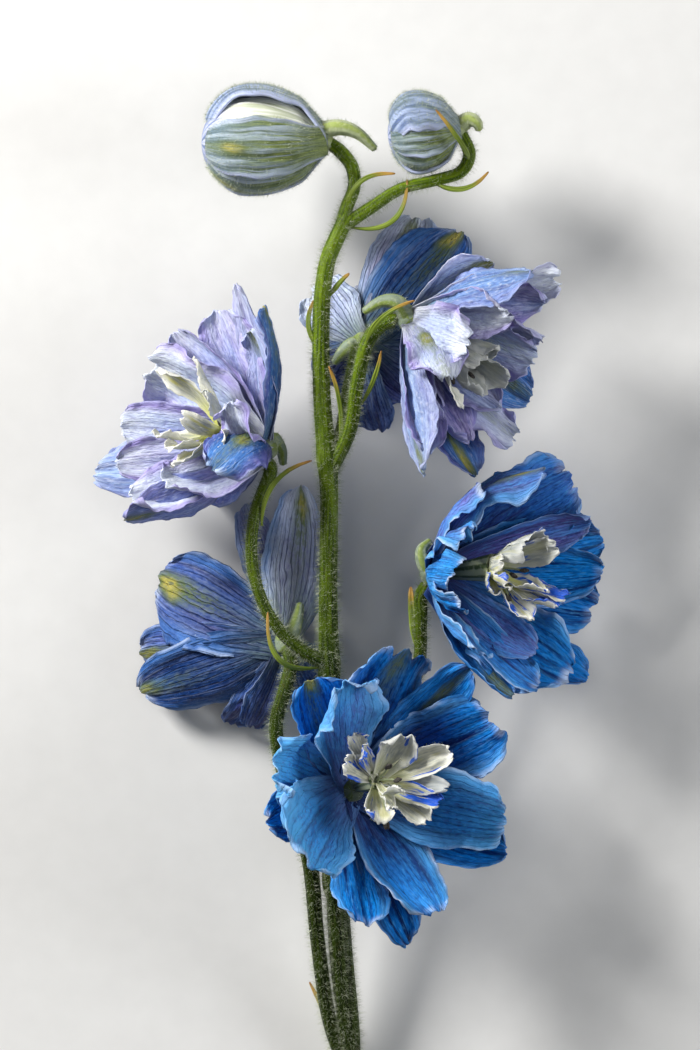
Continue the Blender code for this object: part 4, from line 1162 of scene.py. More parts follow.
class Tissue:
    """The wires that the layers of a petal's colour share."""

    def __init__(self, given):
        self.given = given
        self.along, self.outer, self.pale = given["Along"], given["Outer"], given["Pale"]
        self.side = maths("ABSOLUTE", given["Across"])
        self.inner = 1.0 - self.outer
        self.calm = self.pale * -0.7 + 1.0
        self.blade = (given["Across"], self.along, given["Seed"] * SEED_SPREAD["petal"])
        self.streaks = pattern(self.blade, 4.5, 1.4)
        self.ridges = pattern(self.blade, 15.0, 2.6)
        self.fine = pattern(self.blade, 17.0, 22.0)
        self.cloud = pattern(self.blade, 1.3, 2.4, 2.0)
        self.mottle = pattern(self.blade, 2.6, 4.5, 4.0)

    def ground(self):
        """Streaked blue, with lilac and pale parts, the throat and the greyer outside."""
        given, along, outer, streaks = self.given, self.along, self.outer, self.streaks
        colour = blended(streaks.eased(0.3, 0.58), given["Deep"], given["Bright"])
        lilac = given["Lilac"] * self.cloud.eased(0.25, 0.65, 0.35, 1.0)
        colour = blended(lilac, colour, given["Lilac Colour"])
        border = maths("MAXIMUM", self.side.eased(0.3, 0.95), along.eased(0.6, 1.0))
        pale = self.pale * streaks.eased(0.25, 0.7, 0.6, 1.0) * (border * 0.7 + 0.65)
        colour = blended(pale, colour, given["Pale Colour"])
        throat = self.inner * along.eased(0.45, 0.05, 0.0, 0.75) * self.fine.eased(0.2, 0.8, 0.6, 1.0)
        colour = blended(throat, colour, given["Throat"])
        colour = blended(outer * self.mottle.eased(0.4, 0.65, 0.0, 0.2), colour, GREY_BLUE)
        green = outer * along.eased(0.5, 0.05, 0.0, 0.8) * streaks.eased(0.3, 0.6, 0.4, 1.0)
        return blended(green, colour, ROOT_GREEN)

    def veins(self):
        """Dark lines that fan out from the root, from 0 between them to 1 on a vein."""
        warp = pattern(self.blade, 2.2, 3.5, 2.0) + pattern(self.blade, 5.0, 9.0) * 0.35
        vein_place = warp * 1.4 + self.given["Across"] * VEINS_EACH_SIDE
        wave = maths("ABSOLUTE", maths("SINE", vein_place * math.pi))
        return wave.eased(0.38, 0.0) * self.cloud.eased(0.25, 0.6, 0.4, 1.0) * self.given["Veins"]

    def veined(self, colour, vein):
        """The colour with its veins, strongest on the outside and away from the tip."""
        side_share = self.outer * 0.3 + 0.3
        share = vein * side_share * self.along.eased(1.0, 0.7, 0.2, 1.0) * (self.pale * -0.55 + 1.0)
        return blended(share, colour, self.given["Deep"])

    def grained(self, colour):
        """The colour with painted shade in the furrows and fine pits, lilac on pale blades, and painted
        highlights on the ridge crests and fine crests.
        """
        given, ridges, fine, calm = self.given, self.ridges, self.fine, self.calm
        # Painted shade in the furrows between ridges, painted highlights on their crests.
        colour = blended(ridges.eased(0.5, 0.3, 0.0, 0.35) * calm, colour, given["Deep"])
        colour = blended(ridges.eased(0.5, 0.72, 0.0, 0.2), colour, given["Pale Colour"])
        # Painted shade in the fine pits: lilac on pale blades, deep blue on the rest.
        pit_shade = fine.eased(0.5, 0.3, 0.0, 0.5)
        colour = blended(pit_shade * self.pale * 0.6, colour, given["Lilac Colour"])
        colour = blended(pit_shade * calm, colour, given["Deep"])
        # Painted highlights on the fine crests.
        fleck_and_glint = fine.eased(0.52, 0.72, 0.0, 0.4) * given["Veins"].eased(0.9, 1.5, 1.0, 0.25)
        return blended(fleck_and_glint, colour, given["Pale Colour"])

    def shadowed(self, colour):
        """Painted shade: the colour darkened in patches, deep in the bloom towards the root of the
        inner side, and by the blade's own dark value.
        """
        along = self.along
        # Painted shade in patches, for uneven light.
        colour = shaded(self.mottle.eased(0.48, 0.3, 0.0, 0.35), colour)
        # Painted shade deep in the bloom, towards the root on the inner side.
        colour = shaded(along.eased(0.75, 0.2, 0.0, 0.85) * self.calm * self.inner, colour)
        # Painted shade by the blade's dark value, lighter towards the tip.
        dark = self.given["Dark"] * along.eased(1.0, 0.6, 0.3, 1.0)
        return shaded(dark * self.cloud.eased(0.3, 0.6, 0.85, 1.0), colour)

    def rimmed(self, colour):
        """The colour with a wide tinted margin and a frosted rim."""
        side, along, mottle = self.side, self.along, self.mottle
        margin = self.given["Margin"] * along.eased(0.12, 0.4)
        wide_rim = side.eased(0.5, 0.95) * mottle.eased(0.3, 0.6, 0.4, 1.0) * margin * 0.9
        colour = blended(wide_rim, colour, self.given["Rim Colour"])
        rim = maths("MAXIMUM", side.eased(0.84, 1.0), along.eased(0.93, 1.0))
        share = rim * margin * mottle.eased(0.35, 0.62) * (self.pale * -0.8 + 1.0)
        return blended(share, colour, FROSTED_RIM)


def petal_tissue():
    """Veins, streaks, rim, spot and the outside of a petal, as a shader group."""
    tree = bpy.data.node_groups.new("petal_tissue", "ShaderNodeTree")
    add_sockets(tree, dict.fromkeys((*BLADE_INPUTS, "Veins"), "NodeSocketFloat"))
    add_sockets(tree, dict.fromkeys(SHADE_INPUTS, "NodeSocketColor"))
    add_sockets(tree, RESULTS, "OUTPUT")
    given = given_wires(tree)
    tissue = Tissue(given)
    vein = tissue.veins()
    colour = tissue.grained(tissue.veined(tissue.ground(), vein))
    colour = tissue.rimmed(tissue.shadowed(colour))
    past = given["Along"] - given["Spot Place"]
    fine = tissue.fine
    colour = spot_marks(colour, given["Across"], past, given["Spot"], fine, tissue.mottle)
    out = node(tree, "NodeGroupOutput").inputs
    colour.into(out["Colour"])
    fine.eased(0.2, 0.8, 0.38, 0.60).into(out["Roughness"])
    (fine * 1.3 + tissue.ridges * tissue.calm * 1.3 - vein * 0.7).into(out["Height"])
    return tree


PETAL_TISSUE = petal_tissue()
print("petal tissue group:", len(PETAL_TISSUE.nodes), "nodes")

# %% [markdown]
# A finish is a material. Its shader takes colour, roughness and height from the group, and
# everything that is the same all over stays on the shader itself, such as a little subsurface,
# because light passes through a petal.

# %% The finishes of the petals
PETAL_BUMP = 1.0
SHEEN_ROUGHNESS = 0.45
SCATTER_RADIUS = (0.6, 0.7, 1.0)
SCATTER_SCALE = 0.0012


def new_finish(name, sheen=0.0, subsurface=0.0, specular=0.5, roughness=0.5):
    """A material whose shader has the values that are the same all over."""
    made = bpy.data.materials.new(name)
    made.use_nodes = True
    inputs = made.node_tree.nodes["Principled BSDF"].inputs
    inputs["Roughness"].default_value = roughness
    inputs["Sheen Weight"].default_value = sheen
    inputs["Sheen Roughness"].default_value = SHEEN_ROUGHNESS
    inputs["Specular IOR Level"].default_value = specular
    inputs["Subsurface Weight"].default_value = subsurface
    inputs["Subsurface Radius"].default_value = SCATTER_RADIUS
    inputs["Subsurface Scale"].default_value = SCATTER_SCALE
    return made


def dressed(made, colour, roughness=None, height=None, strength=0.0, distance=0.0003):
    """The material with its colour and, if wanted, roughness and bumps from a height."""
    shader = made.node_tree.nodes["Principled BSDF"].inputs
    colour.into(shader["Base Color"])
    if roughness:
        roughness.into(shader["Roughness"])
    if height:
        inputs = {"Height": height, "Strength": strength, "Distance": distance}
        wire(made.node_tree, "ShaderNodeBump", inputs).into(shader["Normal"])
    return made


def object_place(made):
    """Where a point is on its object, as a wire."""
    return wire(made.node_tree, "ShaderNodeTexCoord", output="Object")


def mesh_vector(made, name):
    """The three values that a mesh keeps under one name, as a wire."""
    return wire(made.node_tree, "ShaderNodeAttribute", output="Vector", attribute_name=name)


def blade_values(made):
    """Across, along and every value of a blade, as wires by name."""
    across, along = wire(made.node_tree, "ShaderNodeUVMap", uv_map="petal_uv").split()[:2]
    found = {"across": across * 2.0 - 1.0, "along": along}
    for name, parts in (("tint", TINT_PARTS), ("marks", MARK_PARTS), ("sides", SIDE_PARTS)):
        found.update(zip(parts, mesh_vector(made, name).split()))
    return found


def petal_finish(name, veins, **shades):
    """A petal material with its own blues."""
    made = new_finish(name, subsurface=0.06, specular=0.12)
    values = blade_values(made)
    inputs = {label: values[label.lower()] for label in BLADE_INPUTS}
    inputs.update(zip(SHADE_INPUTS, shades.values()), Veins=veins)
    group = node(made.node_tree, "ShaderNodeGroup", inputs, node_tree=PETAL_TISSUE)
    results = (Wire(made.node_tree, group.outputs[label]) for label in RESULTS)
    return dressed(made, *results, PETAL_BUMP)


PETAL_FINISHES = {
    "deep_blue_petal": petal_finish(
        "deep_blue_petal",
        veins=0.8,
        deep=rgb(0.001, 0.025, 0.17),
        bright=rgb(0.003, 0.29, 0.92),
        pale=rgb(0.12, 0.52, 0.98),
        lilac=rgb(0.22, 0.16, 0.56),
        throat=rgb(0.22, 0.22, 0.50),
        rim=rgb(0.12, 0.44, 0.90),
    ),
    "lilac_petal": petal_finish(
        "lilac_petal",
        veins=0.45,
        deep=rgb(0.03, 0.09, 0.34),
        bright=rgb(0.10, 0.30, 0.74),
        pale=rgb(0.80, 0.86, 0.97),
        lilac=rgb(0.46, 0.37, 0.78),
        throat=rgb(0.66, 0.66, 0.66),
        rim=rgb(0.26, 0.18, 0.58),
    ),
    "violet_blue_petal": petal_finish(
        "violet_blue_petal",
        veins=1.5,
        deep=rgb(0.003, 0.022, 0.13),
        bright=rgb(0.02, 0.12, 0.44),
        pale=rgb(0.72, 0.79, 0.94),
        lilac=rgb(0.22, 0.18, 0.46),
        throat=rgb(0.36, 0.36, 0.52),
        rim=rgb(0.06, 0.22, 0.60),
    ),
}
print("petal finishes:", ", ".join(PETAL_FINISHES))

# %% [markdown]
# The eye of a delphinium is a bunch of small stiff petals, which growers call bees. They are cream,
# yellow in the throat, and some carry bold blue brush marks. Their greyish middle is partly their own
# colour and partly painted shade, and painted shade greys some of them all over. Their short tube is
# striped green, with painted shade that darkens it towards the foot and blackens its sunken mouth end.

# %% The finishes of the eye
def eye_finish():
    """Cream petals with a yellow root and blue brush marks, a grey middle that is partly painted shade,
    and painted shade from their dark value.
    """
    made = new_finish("cream_eye", sheen=0.1, subsurface=0.12, specular=0.35)
    values = blade_values(made)
    along, yellowness, brush = values["along"], values["lilac"], values["streak"]
    blade = (values["across"], along, values["seed"] * SEED_SPREAD["eye"])
    side = maths("ABSOLUTE", values["across"])
    streaks = pattern(blade, 2.6, 1.7, 2.0)
    fine = pattern(blade, 9.0, 5.0)
    # The grey base is partly the bees' own grey and partly painted shade.
    colour = blended(fine.eased(0.35, 0.65), rgb(0.36, 0.38, 0.34), rgb(0.62, 0.62, 0.50))
    colour = blended(streaks.eased(0.48, 0.38) * yellowness * 0.9, colour, rgb(0.52, 0.50, 0.16))
    border = maths("MAXIMUM", side.eased(0.5, 1.0), along.eased(0.75, 1.0))
    colour = blended(border * 0.85, colour, rgb(0.88, 0.88, 0.82))
    colour = blended(along.eased(0.55, 0.1) * yellowness * 0.9, colour, rgb(0.60, 0.62, 0.16))
    patch = (brush * 0.16 + streaks).eased(0.64, 0.68) * brush.eased(0.0, 0.1)
    patch = patch * along.eased(0.2, 0.45) * fine.eased(0.3, 0.5, 0.6, 1.0)
    colour = blended(patch, colour, rgb(0.008, 0.10, 0.62))
    # Painted shade: the dark value greys a whole petal.
    colour = blended(values["dark"] * 0.8, colour, rgb(0.20, 0.24, 0.30))
    return dressed(made, colour, fine.eased(0.2, 0.8, 0.45, 0.7), fine, 0.6)


def striped_finish(name, ground, stripe, tip, stripes):
    """A tube with lengthwise stripes: the throat of the eye, or a spur, with painted shade from its
    dark value.
    """
    made = new_finish(name, sheen=0.1, subsurface=0.1, specular=0.4)
    grain = mesh_vector(made, "grain")
    cosine, sine = grain.split()[:2]
    coarse = noise(grain, 1.1)
    place_round = coarse * 2.0 + maths("ARCTAN2", sine, cosine) * stripes
    lines = maths("SINE", place_round).eased(-0.3, 0.8)
    colour = blended(lines, ground, stripe)
    colour = blended(coarse.eased(0.45, 0.8, 0.0, 0.6), colour, tip)
    # Painted shade: the dark value darkens the deep throat and the hubs of blooms that face up.
    dark = mesh_vector(made, "tint").split()[TINT_PARTS.index("dark")]
    colour = blended(dark, colour, rgb(0.02, 0.03, 0.012))
    return dressed(made, colour, coarse.eased(0.2, 0.8, 0.5, 0.7), lines, 0.3)


def anther_finish():
    """Dark grains of pollen sacs."""
    made = new_finish("dark_anther", specular=0.4)
    grains = noise(object_place(made), 2600.0)
    colour = blended(grains.eased(0.35, 0.65), rgb(0.010, 0.009, 0.012), rgb(0.07, 0.06, 0.05))
    return dressed(made, colour, grains.eased(0.3, 0.7, 0.6, 0.85), grains, 0.6, 0.0002)


CREAM_EYE = eye_finish()
STRIPED_THROAT = striped_finish(
    "striped_throat", rgb(0.40, 0.44, 0.26), rgb(0.06, 0.10, 0.025), rgb(0.46, 0.50, 0.34), 7.0
)
DOWNY_SPUR = striped_finish(
    "downy_spur", rgb(0.22, 0.28, 0.20), rgb(0.19, 0.26, 0.05), rgb(0.50, 0.53, 0.28), 3.0
)
PALE_SPUR = striped_finish(
    "pale_spur", rgb(0.38, 0.44, 0.24), rgb(0.32, 0.40, 0.10), rgb(0.62, 0.64, 0.38), 3.0
)
DARK_ANTHER = anther_finish()
print("eye finishes ready")

# %% [markdown]
# The stem goes from yellow-green at the top to dark olive at the cut end. Fine ribs run along
# it, with paler and darker lines between them. Bracts are greener at the root and dry to orange
# at the tip. A bud's sepals are grey-blue with green ridges that run up from the foot.

# %% The finishes of the stem, the bracts, the buds and the hairs
def stem_finish():
    """Ribbed green that darkens down the stem."""
    made = new_finish("stem_green", subsurface=0.03, specular=0.15)
    where = object_place(made)
    round_x, round_y, length = mesh_vector(made, "grain").split()
    lines = noise(at(round_x * 4.0, round_y * 4.0, length * 0.12), 1.0, 3.0)
    specks = noise(where, 900.0)
    striped = lines.eased(0.35, 0.65)
    low = blended(striped, rgb(0.006, 0.011, 0.001), rgb(0.03, 0.05, 0.004))
    high = blended(striped, rgb(0.045, 0.085, 0.002), rgb(0.15, 0.23, 0.006))
    colour = blended(where.split()[1].eased(-0.07, 0.09), low, high)
    colour = blended(specks.eased(0.6, 0.72, 0.0, 0.5), colour, rgb(0.06, 0.05, 0.01))
    return dressed(made, colour, specks.eased(0.3, 0.7, 0.42, 0.62), lines + specks * 0.4, 0.45)


def bract_finish():
    """A small leaf that dries from green to orange at its tip."""
    made = new_finish("bract_leaf", subsurface=0.1, specular=0.35)
    values = blade_values(made)
    blade = (values["across"], values["along"], values["seed"] * SEED_SPREAD["bract"])
    lines = pattern(blade, 3.0, 2.0)
    green = blended(lines.eased(0.3, 0.7), rgb(0.08, 0.13, 0.008), rgb(0.26, 0.34, 0.035))
    dry = lines * 0.4 + values["along"]
    colour = blended(dry.eased(0.85, 1.15), green, rgb(0.46, 0.26, 0.05))
    colour = blended(dry.eased(1.12, 1.25), colour, rgb(0.20, 0.08, 0.02))
    return dressed(made, colour, lines.eased(0.2, 0.8, 0.4, 0.6), lines, 0.3)


def bud_finish():
    """Ridged grey-blue sepals, green at the foot, round folded white petals with painted shade in their
    pleats.
    """
    made = new_finish("bud_blue_green", sheen=0.1, subsurface=0.08, specular=0.3)
    values = blade_values(made)
    across, along, blueness = values["across"], values["along"], values["lilac"]
    blade = (across, along, values["seed"] * SEED_SPREAD["bud"])
    lines = pattern(blade, 7.0, 1.6)
    fine = pattern(blade, 20.0, 9.0)
    cloud = pattern(blade, 1.6, 2.6, 2.0)
    pleats = pattern(blade, 14.0, 1.6)
    striped = lines.eased(0.35, 0.65)
    grey = blended(striped, rgb(0.11, 0.17, 0.20), rgb(0.40, 0.48, 0.54))
    blue = blended(striped, rgb(0.09, 0.14, 0.30), rgb(0.34, 0.42, 0.62))
    colour = blended(blueness, grey, blue)
    green = blended(fine.eased(0.35, 0.65), rgb(0.10, 0.14, 0.02), rgb(0.30, 0.36, 0.08))
    ridge = along.eased(0.95, 0.35) * lines.eased(0.6, 0.42)
    foot = maths("MAXIMUM", along.eased(0.5, 0.0), ridge) * 0.95
    colour = blended(foot * (blueness * -0.55 + 1.0), colour, green)
    side = maths("ABSOLUTE", across)
    rim = side.eased(0.8, 0.97) * values["margin"] * cloud.eased(0.3, 0.55, 0.3, 1.0)
    colour = blended(rim, colour, rgb(0.50, 0.55, 0.80))
    past = along - values["spot place"]
    colour = spot_marks(colour, across, past, values["spot"], fine, cloud)
    # The yellow-grey lines of the pleats are partly the petals' own tint and partly painted shade in
    # the folds.
    white = blended(pleats.eased(0.35, 0.62), rgb(0.50, 0.54, 0.38), rgb(0.92, 0.92, 0.87))
    nose = blended(pleats.eased(0.4, 0.58), rgb(0.10, 0.15, 0.30), rgb(0.42, 0.46, 0.66))
    white = blended(along.eased(0.7, 0.95), white, nose)
    colour = blended(values["pale"], colour, white)
    return dressed(made, colour, fine.eased(0.2, 0.8, 0.5, 0.7), lines + fine * 0.6 + pleats, 0.7)


def hair_finish(name, root, end, gloss):
    """Glassy down that varies a little from hair to hair."""
    made = new_finish(name, specular=gloss)
    share = noise(object_place(made), 700.0, 1.0)
    colour = blended(share.eased(0.35, 0.65), root, end)
    return dressed(made, colour, share.eased(0.3, 0.7, 0.3, 0.5))


STEM_GREEN = stem_finish()
BRACT_LEAF = bract_finish()
BUD_BLUE_GREEN = bud_finish()
SILVER_HAIR = hair_finish("silver_hair", rgb(0.11, 0.16, 0.04), rgb(0.56, 0.60, 0.44), 0.5)
BLUE_DOWN = hair_finish("blue_down", rgb(0.08, 0.17, 0.42), rgb(0.20, 0.32, 0.60), 0.02)
print("finishes in all:", len(bpy.data.materials))

# %% [markdown]
# Now the pieces. Each one rides on the only body and names the solid that it stands for.

# %% Put a piece in place of a solid
def settle(piece, slot, *nodes):
    """The piece rides on the body and stands for the given solids."""
    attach(piece, "root")
    if nodes:
        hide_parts(*nodes)
    triangles = sum(len(face.vertices) - 2 for face in piece.data.polygons)
    print(f"{piece.name}: {triangles} triangles")
    return piece


# %% [markdown]
# The stem and its stalks are tubes that run into each other. Each stalk ends in a small seat
# behind its flower, as it does in the solids. The tube of the main stem has eleven ribs and a
# soft swelling where a stalk leaves.

# %% Build the stem and its stalks
HUB_RADIUS = 2.7
TOUCH_GAP = 0.4
SEAT_RADIUS = 1.4
STEM_SIDES = 44
STALK_SIDES = 30
STEM_RIBS = 11
STALK_RIBS = 8
STEM_RIB_DEPTH = 0.035
STALK_RIB_DEPTH = 0.04
NODE_ROWS = (215, 458, 664, 800)
NODE_SWELLING = 0.28
NODE_REACH = 2.2
BUD_SEAT_SHARE = 0.25


def stem_radii(path, radii):
    """Radii with a soft swelling at each node of the stem."""
    swollen = np.array(radii, dtype=float)
    for row in NODE_ROWS:
        level = place(0, row, 0)[1]
        swollen += NODE_SWELLING * np.exp(-(((path[:, 1] - level) / NODE_REACH) ** 2))
    return swollen


def stem_shapes():
    """Every tube of the stem: the main one, then a stalk for each bloom and bud."""
    path, radii = smooth_stations(stations(MAIN_STEM))
    yield tube(path, stem_radii(path, radii), STEM_SIDES, STEM_RIBS, STEM_RIB_DEPTH)
    seats = {bloom.name: (bloom.hub, HUB_RADIUS) for bloom in BLOOMS}
    seats.update({bud.name: (bud.foot, bud.seat * BUD_SEAT_SHARE) for bud in BUDS})
    for carried, spots in STALKS.items():
        hub, hub_radius = seats[carried]
        points = stations(spots)
        centre = place(*hub)
        back = unit(np.array(points[-1][:3]) - centre)
        points.append((*(centre + back * (hub_radius + TOUCH_GAP)), SEAT_RADIUS))
        yield tube(*smooth_stations(points), STALK_SIDES, STALK_RIBS, STALK_RIB_DEPTH)


def build_stem():
    """The stem and its stalks as one mesh, nowhere lower than the table."""
    gathered = Gathered()
    for points, faces, grain in stem_shapes():
        points[:, 2] = np.maximum(points[:, 2], FLOOR_CLEARANCE)
        gathered.add(points, faces, grain=grain, downy=1.0)
    return gathered.finished("stem_and_stalks", STEM_GREEN)


STEM = settle(build_stem(), "stem_green", "stem")

# %% [markdown]
# Bracts are blades too: narrow, flat and bent once through their middle. They get their own
# finish, because they dry orange at the tip while the stem stays green.

# %% Build the bracts
BRACT_ROWS = 26
BRACT_COLUMNS = 9


def bract_blade(bract):
    """The blade of one bract, with its root and the way its face looks."""
    root, middle, tip = (place(*spot) for spot in (bract.root, bract.middle, bract.tip))
    reach = tip - root
    facing = unit(np.cross(np.cross(reach, (0.0, 0.0, 1.0)), reach))
    across = unit(np.cross(reach, facing))
    offset = middle - (root + tip) / 2
    blade = Petal(
        tip=bract.tip,
        width=bract.width * 0.72,
        facing=tuple(facing),
        cup=0.7,
        bow=-float(np.dot(offset, facing)),
        sway=float(np.dot(offset, across)),
        ruffle=0.08,
        blunt=0.1,
        neck=0.35,
        belly=0.35,
        thickness=0.5,
        hair=0.5,
    )
    return blade, root, facing


def build_bracts():
    """All the bracts as one mesh."""
    gathered = Gathered()
    for index, bract in enumerate(BRACTS):
        blade, root, facing = bract_blade(bract)
        add_blade(gathered, blade, root, facing, 1.1 * index, BRACT_ROWS, BRACT_COLUMNS)
    return gathered.finished("stem_bracts", BRACT_LEAF)


BRACT_PIECE = settle(build_bracts(), "stem_green", "stem")

# %% [markdown]
# Each bloom has three parts: the petals and sepals, the downy hub with its spur, and the eye.
# The petals start a little outside the middle of the hub, so their roots stay apart.

# %% Build the petals, hubs and spurs
PETAL_ROWS = 40
PETAL_COLUMNS = 29
PETAL_ROOT_OUT = 1.2
PHASE_STEP = 2.4
SPUR_RADII = (1.9, 1.7, 1.3, 0.8)
SPUR_SIDES = 22
SPUR_RIBS = 6
TUBE_RIB_DEPTH = 0.06
HUB_SIDES = 32
HUB_RINGS = 16
HUB_LOBES = 5
HUB_LOBE_DEPTH = 0.05
HUB_PAINTED_SHADE = 0.9


def build_petals(bloom):
    """All the petals and sepals of a bloom, as one mesh."""
    hub, axis = place(*bloom.hub), unit(bloom.axis)
    gathered = Gathered()
    for index, petal in enumerate(bloom.petals):
        reach = place(*petal.tip) - hub
        outward = unit(reach - axis * np.dot(reach, axis))
        root = hub + outward * PETAL_ROOT_OUT
        add_blade(gathered, petal, root, axis, PHASE_STEP * index, PETAL_ROWS, PETAL_COLUMNS)
    return gathered.finished(bloom.name + "_petals_fine", PETAL_FINISHES[bloom.finish])


def spur_shape(spots):
    """A ribbed, tapering spur through the given places."""
    spur = stations([(*spot, radius) for spot, radius in zip(spots, SPUR_RADII)])
    return tube(*smooth_stations(spur), SPUR_SIDES, SPUR_RIBS, TUBE_RIB_DEPTH)


def build_hub(bloom):
    """The rounded hub, with painted shade when its bloom faces up, and the spur behind it."""
    gathered = Gathered()
    hub, axis = place(*bloom.hub), unit(bloom.axis)
    form = (HUB_SIDES, HUB_RINGS, HUB_LOBES, HUB_LOBE_DEPTH)
    points, faces = lump(hub, axis, HUB_RADIUS, HUB_RADIUS, *form)
    # Painted shade: the hub of a bloom that faces up lies under its petals, so it is darkened.
    shade = HUB_PAINTED_SHADE * max(0.0, bloom.axis[2])
    gathered.add(points, faces, grain=(points - hub) / HUB_RADIUS, tint=(0.0, 0.0, shade), downy=0.6)
    points, faces, grain = spur_shape(bloom.spur)
    gathered.add(points, faces, grain=grain, downy=0.8)
    return gathered.finished(bloom.name + "_hub_and_spur", DOWNY_SPUR)


PETAL_PIECES, HUB_PIECES = [], []
for bloom in BLOOMS:
    node_name = bloom.name + "_petals"
    PETAL_PIECES.append(settle(build_petals(bloom), bloom.finish, node_name))
    HUB_PIECES.append(settle(build_hub(bloom), bloom.finish, node_name))

# %% [markdown]
# The eye stands on a short striped tube. Its cream petals curl at the edges, and between them stand
# dark anthers on pale threads.

# %% Build the eyes
EYE_ROOT_OUT = 0.9
EYE_ROOT_SUNK = 1.0
EYE_PHASE_STEP = 1.7
EYE_ROWS = 30
EYE_COLUMNS = 17
TUBE_RADII = (0.9, 1.5, 2.1)
TUBE_SIDES = 30
TUBE_RIBS = 7
MOUTH_DOME = -0.8
ANTHER_LENGTH = 2.2
ANTHER_RADIUS = 0.62
ANTHER_HALF_OUT = 0.55
ANTHER_HALF_SIZE = 0.75
ANTHER_FORM = (14, 9, 3, 0.08)
THREAD_RADIUS = 0.24
THREAD_SIDES = 8
THREAD_BEND = 0.12
THROAT_PAINTED_SHADE = 0.85


def eye_frame(bloom):
    """The hub, the mouth of the tube and the direction from one to the other."""
    hub, mouth = place(*bloom.hub), place(*bloom.tube_end)
    return hub, mouth, unit(mouth - hub)


def build_eye_petals(bloom):
    """The small cream petals on the mouth of the tube."""
    gathered = Gathered()
    mouth, along = eye_frame(bloom)[1:]
    for index, petal in enumerate(bloom.eye_petals):
        reach = place(*petal.tip) - mouth
        outward = unit(reach - along * np.dot(reach, along))
        root = mouth - along * EYE_ROOT_SUNK + outward * EYE_ROOT_OUT
        add_blade(gathered, petal, root, along, EYE_PHASE_STEP * index, EYE_ROWS, EYE_COLUMNS)
    return gathered.finished(bloom.name + "_eye_petals", CREAM_EYE)


def build_throat(bloom):
    """The striped tube, with painted shade towards its foot and on its sunken mouth end, and the pale
    threads.
    """
    gathered = Gathered()
    hub, mouth, along = eye_frame(bloom)
    foot = hub + along * (HUB_RADIUS + TOUCH_GAP)
    centres = (foot, (foot + mouth) / 2, mouth)
    throat = [(*centre, radius * bloom.mouth) for centre, radius in zip(centres, TUBE_RADII)]
    path = smooth_stations(throat)
    points, faces, grain = tube(*path, TUBE_SIDES, TUBE_RIBS, TUBE_RIB_DEPTH, MOUTH_DOME)
    # Painted shade: darker towards the foot of the tube, and black on its sunken mouth end.
    inside = np.zeros((len(points), 3))
    up_tube = np.clip((points - foot) @ along / np.linalg.norm(mouth - foot), 0.0, 1.0)
    inside[:, TINT_PARTS.index("dark")] = THROAT_PAINTED_SHADE * (1 - up_tube) ** 0.8
    inside[-1, TINT_PARTS.index("dark")] = 1.0
    gathered.add(points, faces, grain=grain, tint=inside)
    for spot in bloom.anthers:
        start, end = mouth - along, place(*spot)
        middle = (start + end) / 2 + THREAD_BEND * np.linalg.norm(end - start) * along
        thread = smooth_path([start, middle, end], 5)
        points, faces, grain = tube(thread, np.full(len(thread), THREAD_RADIUS), THREAD_SIDES)
        gathered.add(points, faces, grain=grain)
    return gathered.finished(bloom.name + "_throat", STRIPED_THROAT)


def build_anthers(bloom):
    """Dark two-lobed anthers on the ends of the threads."""
    gathered = Gathered()
    mouth, along = eye_frame(bloom)[1:]
    for spot in bloom.anthers:
        end = place(*spot)
        way = unit(end - (mouth - along))
        beside = unit(np.cross(way, along + 0.1))
        for half in (-1, 1):
            centre = end + beside * half * ANTHER_RADIUS * ANTHER_HALF_OUT
            size = (ANTHER_LENGTH / 2, ANTHER_RADIUS * ANTHER_HALF_SIZE)
            gathered.add(*lump(centre, way, *size, *ANTHER_FORM))
    return gathered.finished(bloom.name + "_anthers", DARK_ANTHER)


EYE_PIECES = []
for bloom in BLOOMS:
    node_name = bloom.name + "_eye"
    EYE_PIECES.append(settle(build_eye_petals(bloom), "cream_eye", node_name))
    settle(build_throat(bloom), "cream_eye", node_name)
    settle(build_anthers(bloom), "cream_eye", node_name)

# %% [markdown]
# A bud is five sepals wrapped round folded white petals. It swells from a narrow foot, is
# widest past its middle and ends in a blunt nose. Each sepal hugs that shape a little farther
# out than the one it overlaps, and has lengthwise ridges. The petals inside show between the
# sepals, so the middle is a pleated white egg of the same profile.

# %% Build the buds
BUD_ROWS = 48
BUD_COLUMNS = 27
SEPAL_LIFT = 0.8
LOWEST_SEPAL = 0.4
SEPAL_THICKNESS = 0.6
BUD_CORE_SHARE = 0.88
CORE_OUT = 0.4
CORE_RINGS = 48
CORE_SIDES = 120
SEPAL_RIDGE = 0.2
KEEL_HEIGHT = 0.4
KEEL_HALF_WIDTH = 0.14
EDGE_FLARE = 0.4
EDGE_WAVE = 0.22
TIP_ROUNDING = 0.10
NARROWEST_SWELL = 1.6
SEPAL_SPOT_AT = 0.8
SEPAL_MARGIN = 0.8
SEPAL_SEED_STEP = 0.17
WIDEST_SHARE = 0.6
NOSE_SHARE = 1.02
FOOT_SHARE = 0.36
FOOT_ROUNDING = 0.2
FOOT_END = 0.42
BUD_JOINT = (2.0, 2.3)


def bud_swell(share):
    """The bud's radius at a share of its length, as a share of its largest radius."""
    grown = np.sin(np.clip(share / WIDEST_SHARE, 0, 1) * math.pi / 2)
    rising = FOOT_SHARE + (1 - FOOT_SHARE) * grown**0.9
    past = np.clip((share - WIDEST_SHARE) / (NOSE_SHARE - WIDEST_SHARE), 0, 1)
    rounding = FOOT_END + (1 - FOOT_END) * np.clip(share / FOOT_ROUNDING, 0, 1) ** 0.7
    return rising * rounding * np.sqrt(1 - past**2.3)


def bud_frame(bud):
    """Foot, direction, length, and the two directions round the bud."""
    foot, nose = place(*bud.foot), place(*bud.nose)
    along = unit(nose - foot)
    up = unit(np.cross((0.0, 0.0, 1.0), -along))
    toward = np.cross(along, up)
    if toward[2] < 0:
        toward = -toward
    return foot, along, float(np.linalg.norm(nose - foot)), up, toward


